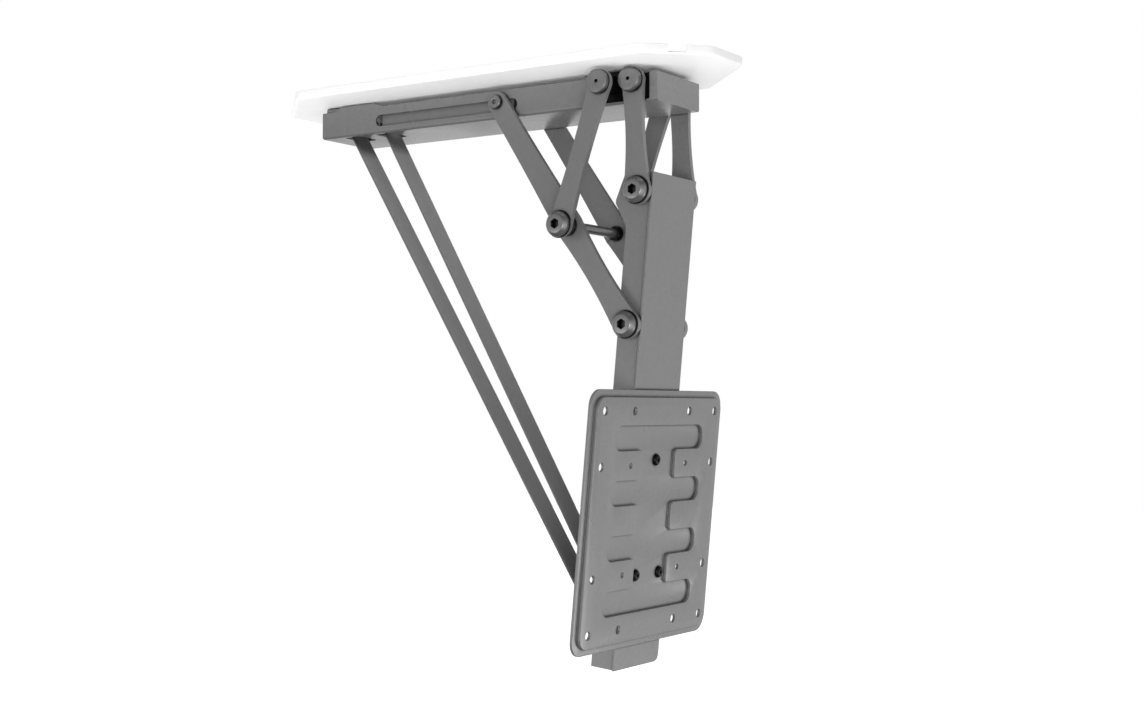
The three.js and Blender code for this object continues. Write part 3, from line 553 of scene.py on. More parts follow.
@dataclass(frozen=True)
class Finish:
    """Surface finish of a family of pieces."""

    name: str
    slot: str
    dark: Triple
    light: Triple
    metallic: float = 0.0
    roughness: Pair = (0.42, 0.52)
    grain_scale: float = 900.0
    bump: float = 0.08
    bump_distance: float = 0.05
    specular: float = 0.5
    coat: float = 0.0
    coat_roughness: float = 0.25
    woven: bool = False
    sheen: Pair = (0.25, 0.5)
    # painted shade: how far, in millimetres, ambient occlusion darkens the colour, and the
    # occlusion range that it maps
    painted_shade_reach: float = 0.0
    painted_shade_span: Pair = (0.60, 0.98)

    def build(self, effects: Effects) -> bpy.types.Material:
        """Makes the material.

        Args:
            effects: the shared node groups.

        Returns:
            The material.
        """
        material = bpy.data.materials.new(self.name)
        material.use_nodes = True
        nodes = Nodes(material.node_tree)
        places = nodes.add("TexCoord").outputs
        handling = nodes.add(
            "Group", {"Vector": places["Object"]}, node_tree=effects.handling
        )
        inputs: dict[str | int, Any] = {
            "Metallic": self.metallic, "Specular IOR Level": self.specular,
            "Coat Weight": self.coat, "Coat Roughness": self.coat_roughness,
            "Roughness": nodes.remap(handling.outputs["Mask"], (0, 1), self.roughness),
        }
        if self.woven:
            pattern = nodes.add("Group", {"Vector": places["UV"]}, node_tree=effects.weave)
            tone = pattern.outputs["Shade"]
            inputs["Sheen Weight"], inputs["Sheen Roughness"] = self.sheen
        else:
            given = {"Vector": places["Object"], "Scale": self.grain_scale}
            pattern = nodes.add("Group", given, node_tree=effects.grain)
            tone = pattern.outputs["Tone"]
        shades = {"A": (*self.dark, 1), "B": (*self.light, 1), "Factor": tone}
        inputs["Base Color"] = nodes.add("Mix", shades, data_type="RGBA").outputs["Result"]
        # painted shade: ambient occlusion darkens the base colour near other surfaces
        if self.painted_shade_reach:
            inputs["Base Color"] = self._paint_shade(nodes, inputs["Base Color"])
        bump = {
            "Strength": self.bump, "Distance": self.bump_distance * MM,
            "Height": pattern.outputs["Height"],
        }
        inputs["Normal"] = nodes.add("Bump", bump).outputs["Normal"]
        nodes.fill(material.node_tree.nodes["Principled BSDF"], inputs)
        return material

    def _paint_shade(self, nodes: Nodes, colour: Socket) -> Socket:
        """Paints shade into the colour of narrow gaps and inner corners, where no light gets in.

        Args:
            nodes: the material's nodes.
            colour: the colour of the open surface.

        Returns:
            The colour with painted shade in its gaps and corners.
        """
        near = nodes.add("AmbientOcclusion", {"Distance": self.painted_shade_reach * MM}, samples=12)
        open_share = nodes.remap(near.outputs["AO"], self.painted_shade_span, (0, 1))
        inputs = {"A": colour, "B": open_share, "Factor": 1.0}
        mix = nodes.add("Mix", inputs, data_type="RGBA", blend_type="MULTIPLY")
        return mix.outputs["Result"]


class Finishes:
    """All finishes of the lift, each built once."""

    steel = Finish(
        "grey_powder_coat", "steel", (0.158, 0.158, 0.160), (0.192, 0.192, 0.195),
        roughness=(0.26, 0.34), bump=0.06, specular=0.45, painted_shade_reach=2.6,
    )
    cap = Finish(
        "grey_turned_cap", "steel", (0.150, 0.150, 0.152), (0.180, 0.180, 0.183),
        metallic=0.5, roughness=(0.24, 0.32), bump=0.04, painted_shade_reach=6.0,
    )
    # steel of the shafts and collars, made very dark so that it also serves as painted shade behind
    # the channel's windows and under the bolt heads
    black_steel_and_shade = Finish(
        "black_steel", "black_steel", (0.002, 0.002, 0.002), (0.004, 0.004, 0.004),
        roughness=(0.38, 0.50), bump=0.08, specular=0.12,
    )
    zinc = Finish(
        "zinc_plate", "zinc", (0.42, 0.42, 0.43), (0.58, 0.58, 0.59), metallic=0.6,
        roughness=(0.26, 0.42), grain_scale=420.0, bump=0.05,
    )
    bolt = Finish(
        "dark_bolt_steel", "bolt_steel", (0.020, 0.020, 0.021), (0.045, 0.045, 0.047),
        metallic=0.5, roughness=(0.28, 0.40), bump=0.05,
    )
    white = Finish(
        "white_pan_paint", "white_paint", (0.84, 0.84, 0.84), (0.90, 0.90, 0.90),
        roughness=(0.38, 0.48), bump=0.05, coat=0.1,
    )
    webbing = Finish(
        "grey_webbing", "webbing", (0.150, 0.150, 0.153), (0.310, 0.310, 0.316),
        roughness=(0.80, 0.90), bump=0.7, bump_distance=0.25, specular=0.2, woven=True,
        # painted shade: the belt darkens within this reach of the channel's slot and of other parts
        painted_shade_reach=22.0,
    )
    nylon = Finish(
        "dark_nylon", "nylon", (0.018, 0.018, 0.019), (0.032, 0.032, 0.034),
        roughness=(0.45, 0.60), grain_scale=1400.0, bump=0.10,
    )

    def __init__(self) -> None:
        """Builds the materials."""
        effects = Effects()
        self.all = [f for f in vars(Finishes).values() if isinstance(f, Finish)]
        self.made = {finish.name: finish.build(effects) for finish in self.all}

    def paint(self, piece: bpy.types.Object, finish: Finish) -> None:
        """Gives a piece the material of its finish."""
        piece.data.materials.clear()
        piece.data.materials.append(self.made[finish.name])


@dataclass
class SubAssembly:
    """Base of every sub-assembly: makes its pieces and puts them on their bodies."""

    finishes: Finishes

    def make(
        self, name: str, base: Solid | bpy.types.Object, body: str, finish: Finish,
        node: str = "", changes: Sequence[Change] = (), edges: Edges = Edges(),
        leaning: bool = False,
    ) -> None:
        """Makes a piece, dresses it, puts it on its body and hides what it stands for.

        Args:
            name: the piece's name.
            base: the solid or the piece that it starts from.
            body: the body that it moves with.
            finish: its finish.
            node: the solid that it stands for, if any.
            changes: what is added to it and cut from it, in order.
            edges: how its edges are finished.
            leaning: whether it is drawn upright and goes to the leaning column.
        """
        piece = base if isinstance(base, bpy.types.Object) else Bench.piece(name, base)
        for how, solids in changes:
            Bench.change(piece, how, solids)
        Bench.soften(piece, edges)
        if leaning:
            piece.data.transform(LEANING)
        self.finishes.paint(piece, finish)
        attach(piece, body)
        if node:
            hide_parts(node)
        LOG.info("fitted %s on %s", name, body)

    def bolt_head(
        self, node: str, body: str, place: Pair, face: float, side: int, shank: float = 0.0
    ) -> None:
        """Makes a bolt head with a wide chamfer, a socket and a ring beneath whose very dark colour
        is painted shadow round the head.

        Args:
            node: the solid that it stands for.
            body: the body that it moves with.
            place: the pivot.
            face: outer face of the link under it, in millimetres.
            side: -1 for left and 1 for right.
            shank: length of the shank behind the head.
        """
        height, overlap = 7.7, 0.3
        profile = [
            (0, 0), (11.8, 0), (12.15, 0.25), (12.2, 0.7), (12.2, 3.0), (12.1, 3.6),
            (11.8, 4.3), (9.7, 7.0), (9.2, 7.45), (8.6, height), (0, height),
        ]
        changes: list[Change] = []
        under = face + GAP
        if shank:
            near, far = under + overlap - shank, under + overlap
            changes.append((Join.ADD, [Bench.side_rod(place, near, far, PIVOTS.shaft, side)]))
        socket = Bench.side_rod(
            place, under + height - 5, under + height + PAST, 5, side, sides=6
        )
        changes.append((Join.CUT, [socket]))
        head = Bench.turned(profile, Bench.facing(place, under, side))
        self.make(
            f"{node}_head", head, body, Finishes.cap, node, changes, Edges(0, angle=40)
        )
        # ring a little wider than the head; its very dark colour is painted shadow under the head
        ring = [
            (5.6, 0), (12.7, 0), (13.0, 0.25), (13.0, 0.65), (12.7, 0.9), (5.6, 0.9), (5.6, 0)
        ]
        washer_and_shadow = Bench.turned(ring, Bench.facing(place, face + 0.02, side))
        self.make(f"{node}_washer", washer_and_shadow, body, Finishes.black_steel_and_shade, edges=Edges(0, angle=50))


@dataclass
class CeilingPan(SubAssembly):
    """White tray against the ceiling, with the plate and bolts that hold it."""

    half_width: float = 90.5
    half_length: float = 266.75
    height: float = 8.5
    wall: float = 2.0
    small: float = 48.0
    large: float = 76.0
    radius: float = 14.0
    rim_radius: float = 2.6
    notch: float = 17.5
    notch_place: float = 34.0
    bolt_rows: Pair = (-134.0, 187.0)
    bolt_spread: float = 20.0
    bolt_radius: float = 4.0
    bolt_bore: float = 4.25
    plate_half: Pair = (55.0, 200.0)
    plate_shift: float = 8.0
    plate_thickness: float = 3.0
    plate_margin: float = 14.0
    bridge_sheet: float = 2.5
    bridge_half: float = 10.0

    def build(self) -> None:
        """Makes the tray, the mounting plate, the bridges and the bolts."""
        places = [(s * self.bolt_spread, y) for y in self.bolt_rows for s in (-1, 1)]
        self._tray(places)
        self._mount_plate(places)
        room = LAYERS.wall_inside - GAP
        self._bridge("front", self.bolt_rows[0], room - 2.3 - GAP)
        self._bridge("back", self.bolt_rows[1], room)
        under = -self.height - GAP - self.bridge_sheet - GAP
        for number, place in enumerate(places, 1):
            nut = Bench.rod(Axis.Z, place, under - 5, under, 6.5, 6)
            shank = Bench.rod(Axis.Z, place, under - 0.5, 0, self.bolt_radius, 32)
            self.make(
                f"hanger_bolt_piece_{number}", shank, "frame", Finishes.zinc,
                f"hanger_bolt_{number}", [(Join.ADD, [nut])], Edges(0.35),
            )

    def _outline(self, inset: float) -> list[Corner]:
        """Gives the eight-sided outline of the tray, some way inside its outer face."""
        w, h = self.half_width - inset, self.half_length - inset
        shift = inset * (math.sqrt(2) - 2)
        s, g = self.small + shift, self.large + shift
        points = (
            (-w + s, -h), (w - g, -h), (w, -h + g), (w, h - s),
            (w - s, h), (-w + g, h), (-w, h - g), (-w, -h + s),
        )
        return [Corner(u, v, self.radius - inset) for u, v in points]

    def _bores(self, places: Sequence[Pair], low: float) -> list[Solid]:
        """Gives the cutters of the bolts' bores."""
        return [Bench.rod(Axis.Z, p, low, PAST, self.bolt_bore, 32) for p in places]

    def _tray(self, places: Sequence[Pair]) -> None:
        """Makes the pressed tray, with a rounded underside edge and a notch in its rim."""
        shell = Bench.prism(self._outline(0), -self.height, 0)
        low = -self.height * MM + 1e-6
        rim = [e for e in shell.edges if all(v.co.z < low for v in e.verts)]
        Bench.round_off(shell, rim, self.rim_radius, 5)
        depth = self.wall - self.height
        middle = Vector((
            -self.half_width + self.small / 2, -self.half_length + self.small / 2,
        ))
        along = Vector((1, -1)).normalized()
        spot = middle + along * (self.notch_place - self.small * math.sqrt(2) / 2)
        notch = Bench.block((-self.notch / 2, self.notch / 2), (-5, 5), (depth, PAST))
        bmesh.ops.transform(
            notch, verts=notch.verts[:],
            matrix=Matrix.Translation((spot.x * MM, spot.y * MM, 0))
            @ Matrix.Rotation(-math.pi / 4, 4, "Z"),
        )
        changes = [
            (Join.CUT, [Bench.prism(self._outline(self.wall), depth, PAST)]),
            (Join.CUT, [notch]), (Join.CUT, self._bores(places, -12)),
        ]
        self.make(
            "pan_tray", shell, "frame", Finishes.white, "ceiling_pan", changes, Edges(0.45, 3)
        )

    def _mount_plate(self, places: Sequence[Pair]) -> None:
        """Makes the flat plate with the screw holes and the rings round the bolts."""
        (w, h), y, low = self.plate_half, self.plate_shift, -self.plate_thickness
        across, along = w - self.plate_margin, h - self.plate_margin
        screws = [
            Bench.rod(Axis.Z, (c * across, y + r * along), -8, PAST, 3.5, 32)
            for r in (-1, 0, 1) for c in (-1, 1)
        ]
        rings = [Bench.rod(Axis.Z, p, -6.2, low + 0.2, 6.5, 32) for p in places]
        self.make(
            "mounting_plate", Bench.prism(Bench.rectangle((-w, w), (y - h, y + h), 6), low, 0),
            "frame", Finishes.zinc, "mount_plate",
            [(Join.ADD, rings), (Join.CUT, [*screws, *self._bores(places, -9)])],
        )

    def _bridge(self, name: str, row: float, half: float) -> None:
        """Makes a bent bridge between the channel's walls.

        Args:
            name: which bridge it is.
            row: its middle along Y, in millimetres.
            half: half its width.
        """
        top, low = -self.height - GAP, LAYERS.floor
        reach, inner = self.bridge_half, half - self.bridge_sheet
        outside = Bench.rectangle((-half, half), (low, top), 0, 0, 3.2, 3.2)
        inside = Bench.rectangle(
            (-inner, inner), (low - PAST, top - self.bridge_sheet), 0, 0, 1, 1
        )
        hollow = Bench.prism(inside, row - reach - PAST, row + reach + PAST, Axis.Y)
        bores = [
            Bench.rod(Axis.Z, (s * self.bolt_spread, row), -20, 0, self.bolt_bore, 32)
            for s in (-1, 1)
        ]
        self.make(
            f"{name}_hanger_bridge", Bench.prism(outside, row - reach, row + reach, Axis.Y),
            "frame", Finishes.steel, f"hanger_bridge_{name}",
            [(Join.CUT, [hollow]), (Join.CUT, bores)],
        )


@dataclass
class Channel(SubAssembly):
    """Grey channel under the pan, with its brackets, rails and fixed pivots."""

    front: float = -206.5
    length: float = 407.5
    floor: float = -41.4
    top: float = -14.2
    ear_top: float = -9.4
    fold: float = 3.0
    window: Pair = (-198.0, -150.0)
    slot_height: Pair = (-34.6, -23.0)
    slot_ends: Pair = (-43.5, 122.65)
    belt_slots: Pair = (164.45, 123.45)
    belt_slot: Pair = (-33.5, -4.5)
    belt_slot_half: float = 11.0
    plate: float = 2.3
    rail: Pair = (4.4, 1.2)
    rail_height: Pair = (-39.1, -19.1)
    rail_ends: Pair = (-41.15, 125.45)
    collar: float = 9.0

    def build(self) -> None:
        """Makes the channel and everything fixed in it."""
        self._channel()
        for name, side in SIDES:
            self._bracket(name, side)
            self._rail(name, side)
            self._cap(f"front_pivot_cap_{name}", PIVOTS.front, LAYERS.inner_face, 7.7, side)
            self._cap(f"rear_pivot_cap_{name}", PIVOTS.rear, LAYERS.outer_face, 5.4, side)
        self._winch_plate()
        self._shaft("front_pivot_shaft", PIVOTS.front, LAYERS.inner, LAYERS.inner_face)
        self._shaft("rear_pivot_shaft", PIVOTS.rear, LAYERS.outer, LAYERS.outer_face)

    def _side_view(self) -> list[Corner]:
        """Gives the side outline with its two raised ears."""
        back = self.front + self.length
        return [
            Corner(self.front, self.floor), Corner(self.front, self.top),
            Corner(-188, self.top, 5), Corner(-182, self.ear_top, 5),
            Corner(-134, self.ear_top, 5), Corner(-128, self.top, 5),
            Corner(119, self.top, 6), Corner(136, self.ear_top, 6),
            Corner(174.2, self.ear_top, 6), Corner(183.6, self.top, 6),
            Corner(back, self.top), Corner(back, self.floor),
        ]

    def _channel(self) -> None:
        """Makes the folded sheet channel with its windows and slots."""
        wall, inside, back = LAYERS.wall, LAYERS.wall_inside, self.front + self.length
        low, side = self.floor + LAYERS.sheet, LAYERS.wall + PAST
        section = Bench.rectangle((-wall, wall), (self.floor, 0), self.fold, self.fold, 0, 0)
        hollow = Bench.rectangle((-inside, inside), (low, 2), 1, 1, 0, 0)
        window = Bench.rectangle(self.window, (low + GAP, self.ear_top - 1), 1)
        r = (self.slot_height[1] - self.slot_height[0]) / 2 - 0.01
        ends = (self.slot_ends[0] - r, self.slot_ends[1] + r)
        slot = Bench.rectangle(ends, self.slot_height, r)
        half = self.belt_slot_half
        belt_slots = [
            Bench.rectangle(self.belt_slot, (middle - half, middle + half), 7, 7, 3, 3)
            for middle in self.belt_slots
        ]
        changes = [
            (Join.KEEP_COMMON, [Bench.prism(section, self.front - 1, back + 1, Axis.Y)]),
            (Join.CUT, [Bench.prism(
                hollow, self.front + LAYERS.sheet, back - LAYERS.sheet, Axis.Y, 3
            )]),
            (Join.CUT, [
                Bench.prism(window, -side, side, Axis.X, 4),
                Bench.prism(slot, -side, side, Axis.X, 12),
            ]),
            (Join.CUT, [Bench.prism(s, self.floor - PAST, low + 1.5) for s in belt_slots]),
        ]
        self.make(
            "folded_channel", Bench.prism(self._side_view(), -wall, wall, Axis.X, 4),
            "frame", Finishes.steel, "frame_channel", changes, Edges(0.4, 3),
        )

    def _bracket(self, name: str, side: int) -> None:
        """Makes the plate behind the window that carries the fixed shafts; its very dark colour is
        painted shade seen through the window.
        """
        outer = LAYERS.wall_inside - GAP
        low, high = sorted((side * (outer - self.plate), side * outer))
        holes = [
            Bench.side_rod(p, outer - 5, outer + 5, PIVOTS.bore, side)
            for p in (PIVOTS.front, PIVOTS.rear)
        ]
        ears = Bench.prism(self._side_view(), low - 1, high + 1, Axis.X, 4)
        self.make(
            f"pivot_plate_{name}",
            Bench.block((low, high), (-202, -120), (LAYERS.floor, self.ear_top)),
            "frame", Finishes.black_steel_and_shade, f"pivot_bracket_{name}",
            [(Join.KEEP_COMMON, [ears]), (Join.CUT, holes)],
        )

    def _rail(self, name: str, side: int) -> None:
        """Makes the folded guide rail behind a side slot."""
        outer, (width, sheet) = LAYERS.wall_inside - GAP, self.rail
        (front, back), (low, high) = self.rail_ends, self.rail_height
        inner = outer - width
        x = sorted((side * inner, side * outer))
        h = sorted((side * (inner + sheet), side * (outer + PAST)))
        hollow = Bench.block(h, (front - PAST, back + PAST), (low + sheet, high - sheet))
        self.make(
            f"slide_rail_{name}", Bench.block(x, self.rail_ends, self.rail_height),
            "frame", Finishes.steel, f"guide_rail_{name}",
            [(Join.CUT, [hollow])], Edges(0.25),
        )

    def _winch_plate(self) -> None:
        """Makes the sheet that carries the drum shaft and the bar of the belt's end."""
        outer = GAP - LAYERS.wall_inside
        bores = [
            Bench.rod(Axis.X, place, outer - 3, outer + 6, 4.25, 32)
            for place in (PIVOTS.drum, PIVOTS.anchor)
        ]
        self.make(
            "winch_side_plate",
            Bench.block((outer, outer + self.plate), (125.75, 176.65), (LAYERS.floor, self.top)),
            "frame", Finishes.steel, "winch_plate", [(Join.CUT, bores)],
        )

    def _cap(self, node: str, place: Pair, face: float, height: float, side: int) -> None:
        """Makes the round cap over the end of a fixed shaft.

        Args:
            node: the solid that it stands for.
            place: the pivot.
            face: outer face of the link under it, in millimetres.
            height: of the cap.
            side: -1 for left and 1 for right.
        """
        profile = [
            (0, 0), (10.5, 0), (10.8, 0.3), (10.8, height - 0.9), (10.7, height - 0.45),
            (10.4, height - 0.15), (9.9, height), (2.1, height), (1.75, height - 0.15),
            (1.70, height - 2.6), (0, height - 2.6),
        ]
        cap = Bench.turned(profile, Bench.facing(place, face + GAP, side))
        self.make(
            f"{node}_turned", cap, "frame", Finishes.cap, node, edges=Edges(0, angle=42)
        )

    def _shaft(self, node: str, place: Pair, shoulder: float, end: float) -> None:
        """Makes a fixed cross shaft with a shoulder on each side.

        Args:
            node: the solid that it stands for.
            place: the pivot.
            shoulder: inner face of the link that it carries, in millimetres.
            end: outer face of that link.
        """
        collars = [
            Bench.side_rod(place, LAYERS.wall + GAP, shoulder - GAP, self.collar, side)
            for _, side in SIDES
        ]
        self.make(
            f"{node}_turned", Bench.rod(Axis.X, place, -end, end, PIVOTS.shaft), "frame",
            Finishes.black_steel_and_shade, node, [(Join.ADD, collars)], Edges(0.4),
        )


@dataclass(frozen=True)
class Span:
    """Stretch of a link between two pivots, with its half widths in millimetres."""

    start: Pair
    end: Pair
    at_start: float
    at_end: float
    waist: float


@dataclass
class Links(SubAssembly):
    """Six flat links with their shafts, spacers, bolts and slide pins."""

    chord_steps: int = 14
    spacer: float = 9.0
    cross_shaft: float = 4.7
    collar: float = 7.0
    collar_bore: float = 5.05
    collar_width: float = 4.0
    roller: Pair = (33.8, 36.3)
    roller_radius: float = 5.5

    def build(self) -> None:
        """Makes the links and what turns with them."""
        p = PIVOTS
        slider = (
            Span(p.slider, p.cross, 10.3, 13.8, 11.2), Span(p.cross, p.lower, 13.8, 13.8, 10.6)
        )
        brace = (Span(p.rear, p.cross, 11.5, 12.0, 9.2),)
        top = (Span(p.front, p.upper, 11.5, 13.8, 9.2),)
        for name, side in SIDES:
            self._link(f"slider_link_{name}", "slider_links", slider, LAYERS.inner, side)
            self._link(f"brace_link_{name}", "brace_links", brace, LAYERS.outer, side)
            self._link(f"top_link_{name}", "top_links", top, LAYERS.inner, side)
            self._spacer(name, side)
            self._slide(name, side)
            self.bolt_head(f"cross_bolt_{name}", "slider_links", p.cross, LAYERS.outer_face, side)
            self.bolt_head(
                f"upper_bolt_{name}", "top_links", p.upper, LAYERS.inner_face, side, 5.3
            )
        self._cross_shaft()

    def _waisted(self, span: Span) -> list[Corner]:
        """Gives the outline of a stretch of link whose sides draw in at the middle."""
        a, b = Vector(span.start), Vector(span.end)
        along = (b - a).normalized()
        across = Vector((-along.y, along.x))
        control = 2 * span.waist - (span.at_start + span.at_end) / 2
        shape = []
        there, back = range(self.chord_steps + 1), range(self.chord_steps, -1, -1)
        for sign, order in ((1, there), (-1, back)):
            for step in order:
                t = step / self.chord_steps
                width = (
                    (1 - t) ** 2 * span.at_start + 2 * t * (1 - t) * control + t**2 * span.at_end
                )
                spot = a.lerp(b, t) + across * width * sign
                shape.append(Corner(spot.x, spot.y))
        return shape

    def _link(
        self, node: str, body: str, spans: Sequence[Span], face: float, side: int
    ) -> None:
        """Makes a flat link with a round boss and a bore at each pivot.

        Args:
            node: the solid that it stands for.
            body: the body that it moves with.
            spans: its stretches, end to end.
            face: inner face, from the middle.
            side: -1 for left and 1 for right.
        """
        low, high = sorted((side * face, side * (face + LAYERS.link)))
        first, *others = [Bench.prism(self._waisted(s), low, high, Axis.X) for s in spans]
        bosses = {span.start: span.at_start for span in spans}
        bosses[spans[-1].end] = spans[-1].at_end
        rounds = [Bench.rod(Axis.X, place, low, high, r, 96) for place, r in bosses.items()]
        bores = [
            Bench.rod(
                Axis.X, place, low - PAST, high + PAST,
                PIVOTS.pin_bore if place == PIVOTS.slider else PIVOTS.bore,
            )
            for place in bosses
        ]
        changes = [*((Join.ADD, [solid]) for solid in (*others, *rounds)), (Join.CUT, bores)]
        self.make(
            f"{node}_plate", first, body, Finishes.steel, node, changes, Edges(0.5, 3, 50)
        )

    def _spacer(self, name: str, side: int) -> None:
        """Makes the spacer tube between the slider link and the brace link."""
        place, near, far = PIVOTS.cross, LAYERS.inner_face + GAP, LAYERS.outer - GAP
        bore = Bench.side_rod(place, near - PAST, far + PAST, PIVOTS.bore, side)
        self.make(
            f"cross_spacer_{name}_tube", Bench.side_rod(place, near, far, self.spacer, side),
            "slider_links", Finishes.bolt, f"cross_spacer_{name}",
            [(Join.CUT, [bore])], Edges(0.4),
        )

    def _cross_shaft(self) -> None:
        """Makes the cross shaft with its collars."""
        place, end = PIVOTS.cross, LAYERS.inner - GAP
        shaft = Bench.piece(
            "cross_shaft_turned", Bench.rod(Axis.X, place, -end, end, self.cross_shaft)
        )
        inner = end - self.collar_width
        for name, side in SIDES:
            bore = Bench.side_rod(place, inner - PAST, end + PAST, self.collar_bore, side)
            self.make(
                f"cross_collar_{name}", Bench.side_rod(place, inner, end, self.collar, side),
                "slider_links", Finishes.black_steel_and_shade, "", [(Join.CUT, [bore])], Edges(0.5, 3),
            )
        ends = [
            Bench.side_rod(place, inner, LAYERS.outer_face, PIVOTS.shaft, side)
            for _, side in SIDES
        ]
        self.make(
            "cross_shaft_turned", shaft, "slider_links", Finishes.cap, "cross_shaft",
            [(Join.ADD, ends)], Edges(0.4),
        )

    def _slide(self, name: str, side: int) -> None:
        """Makes a headed slide pin and its roller behind the slot."""
        place, face, (near, far) = PIVOTS.slider, LAYERS.inner_face + GAP, self.roller
        profile = [
            (0, 0), (6.4, 0), (6.4, 2.4), (6.2, 3.0), (5.7, 3.45), (5.1, 3.6),
            (2.6, 3.6), (2.2, 3.4), (1.9, 2.6), (0, 2.4),
        ]
        shank = Bench.side_rod(place, near, face + 0.3, PIVOTS.pin, side, 32)
        self.make(
            f"slider_pin_{name}_head", Bench.turned(profile, Bench.facing(place, face, side)),
            "slider_links", Finishes.cap, f"slider_pin_{name}",
            [(Join.ADD, [shank])], Edges(0, angle=40),
        )
        bore = Bench.side_rod(place, 30, 40, PIVOTS.pin_bore, side, 32)
        self.make(
            f"slide_roller_{name}_disc",
            Bench.side_rod(place, near, far, self.roller_radius, side),
            "slide_rollers", Finishes.nylon, f"slide_roller_{name}",
            [(Join.CUT, [bore])], Edges(0.4),
        )


SCREWS: tuple[Pair, ...] = ((0, 54), (-21, -53), (21, -53))


@dataclass
class Column(SubAssembly):
    """Leaning column with its cover, shafts, roller and bolts."""

    top: float = 319.0
    bottom: float = -141.0
    face: float = 7.0
    cover: float = 2.5
    cover_half: float = 40.0
    sheet: float = 2.5
    half: float = 36.5
    back: float = 34.0
    boss: float = 11.0
    upper: Pair = (20.8, 301.3)
    lower: Pair = (20.8, 177.8)
    roller: Pair = (24.4, -103.0)
    axle: float = 4.0
    screw_bore: float = 3.25

    def build(self) -> None:
        """Makes the column and what is fixed to it."""
        self._channel()
        self._cover()
        for node, solid, place, end, radius, finish in (
            ("upper_column_shaft", "", self.upper, 40.0, PIVOTS.shaft, Finishes.bolt),
            ("lower_column_shaft", "", self.lower, LAYERS.inner_face, PIVOTS.shaft, Finishes.bolt),
            ("roller_axle", "belt_roller_axle", self.roller, self.half, self.axle, Finishes.zinc),
        ):
            self.make(
                f"{node}_turned", Bench.rod(Axis.X, place, -end, end, radius), "column",
                finish, solid or node, edges=Edges(0.4), leaning=True,
            )
        for name, side in SIDES:
            self.bolt_head(f"lower_bolt_{name}", "column", PIVOTS.lower, LAYERS.inner_face, side)
        self._roller()

    def _channel(self) -> None:
        """Makes the folded column channel with its ears and bosses."""
        front, half, inner = self.face + self.cover + GAP, self.half, self.half - self.sheet
        side_view = [
            Corner(front, self.bottom), Corner(self.back, self.bottom),
            Corner(self.back, self.top - 51, 9), Corner(self.back + 14, self.top - 29, 6),
            Corner(self.back + 4.7, self.top, 4), Corner(front, self.top),
        ]
        section = Bench.rectangle((-half, half), (front, 60), 2.2, 2.2, 0, 0)
        hollow = Bench.rectangle((-inner, inner), (front + self.sheet, 64), 0.8, 0.8, 0, 0)
        pivots = (self.upper, self.lower)
        bosses = [
            Bench.side_rod(place, half - 1, LAYERS.inner - GAP, self.boss, side)
            for _, side in SIDES for place in pivots
        ]
        cuts = [
            *(Bench.rod(Axis.X, p, -45, 45, PIVOTS.bore) for p in pivots),
            Bench.rod(Axis.X, self.roller, -45, 45, self.axle + 0.25),
            *(Bench.rod(Axis.Y, s, front - 2, front + 6, self.screw_bore, 32) for s in SCREWS),
        ]
        changes = [
            (Join.KEEP_COMMON, [Bench.prism(section, self.bottom - 1, self.top + 1)]),
            (Join.CUT, [Bench.prism(hollow, self.bottom - PAST, self.top + PAST, Axis.Z, 3)]),
            (Join.ADD, bosses), (Join.CUT, cuts),
        ]
        self.make(
            "column_fold", Bench.prism(side_view, -half, half, Axis.X, 5), "column",
            Finishes.steel, "column_channel", changes, Edges(0.4, 3), leaning=True,
        )

    def _cover(self) -> None:
        """Makes the flat cover on the front of the column."""
        shape = Bench.rectangle(
            (-self.cover_half, self.cover_half), (self.bottom, self.top), 1, 7, 1, 1
        )
        holes = [Bench.rod(Axis.Y, s, 3, 14, self.screw_bore, 32) for s in SCREWS]
        self.make(
            "cover_sheet", Bench.prism(shape, self.face, self.face + self.cover, Axis.Y),
            "column", Finishes.steel, "column_cover",
            [(Join.CUT, holes)], Edges(0.6, 3), leaning=True,
        )

    def _roller(self) -> None:
        """Makes the belt roller with a shallow crown and a flange at each end."""
        profile = [
            (4.25, 0), (8.1, 0), (8.5, 0.4), (8.5, 1.2), (8.3, 1.6), (8.35, 14), (8.3, 26.4),
            (8.5, 26.8), (8.5, 27.6), (8.1, 28), (4.25, 28), (4.25, 0),
        ]
        self.make(
            "belt_roller_turned", Bench.turned(profile, Bench.facing(self.roller, 5, -1)),
            "belt_roller", Finishes.nylon, "belt_roller", edges=Edges(0, angle=35),
            leaning=True,
        )


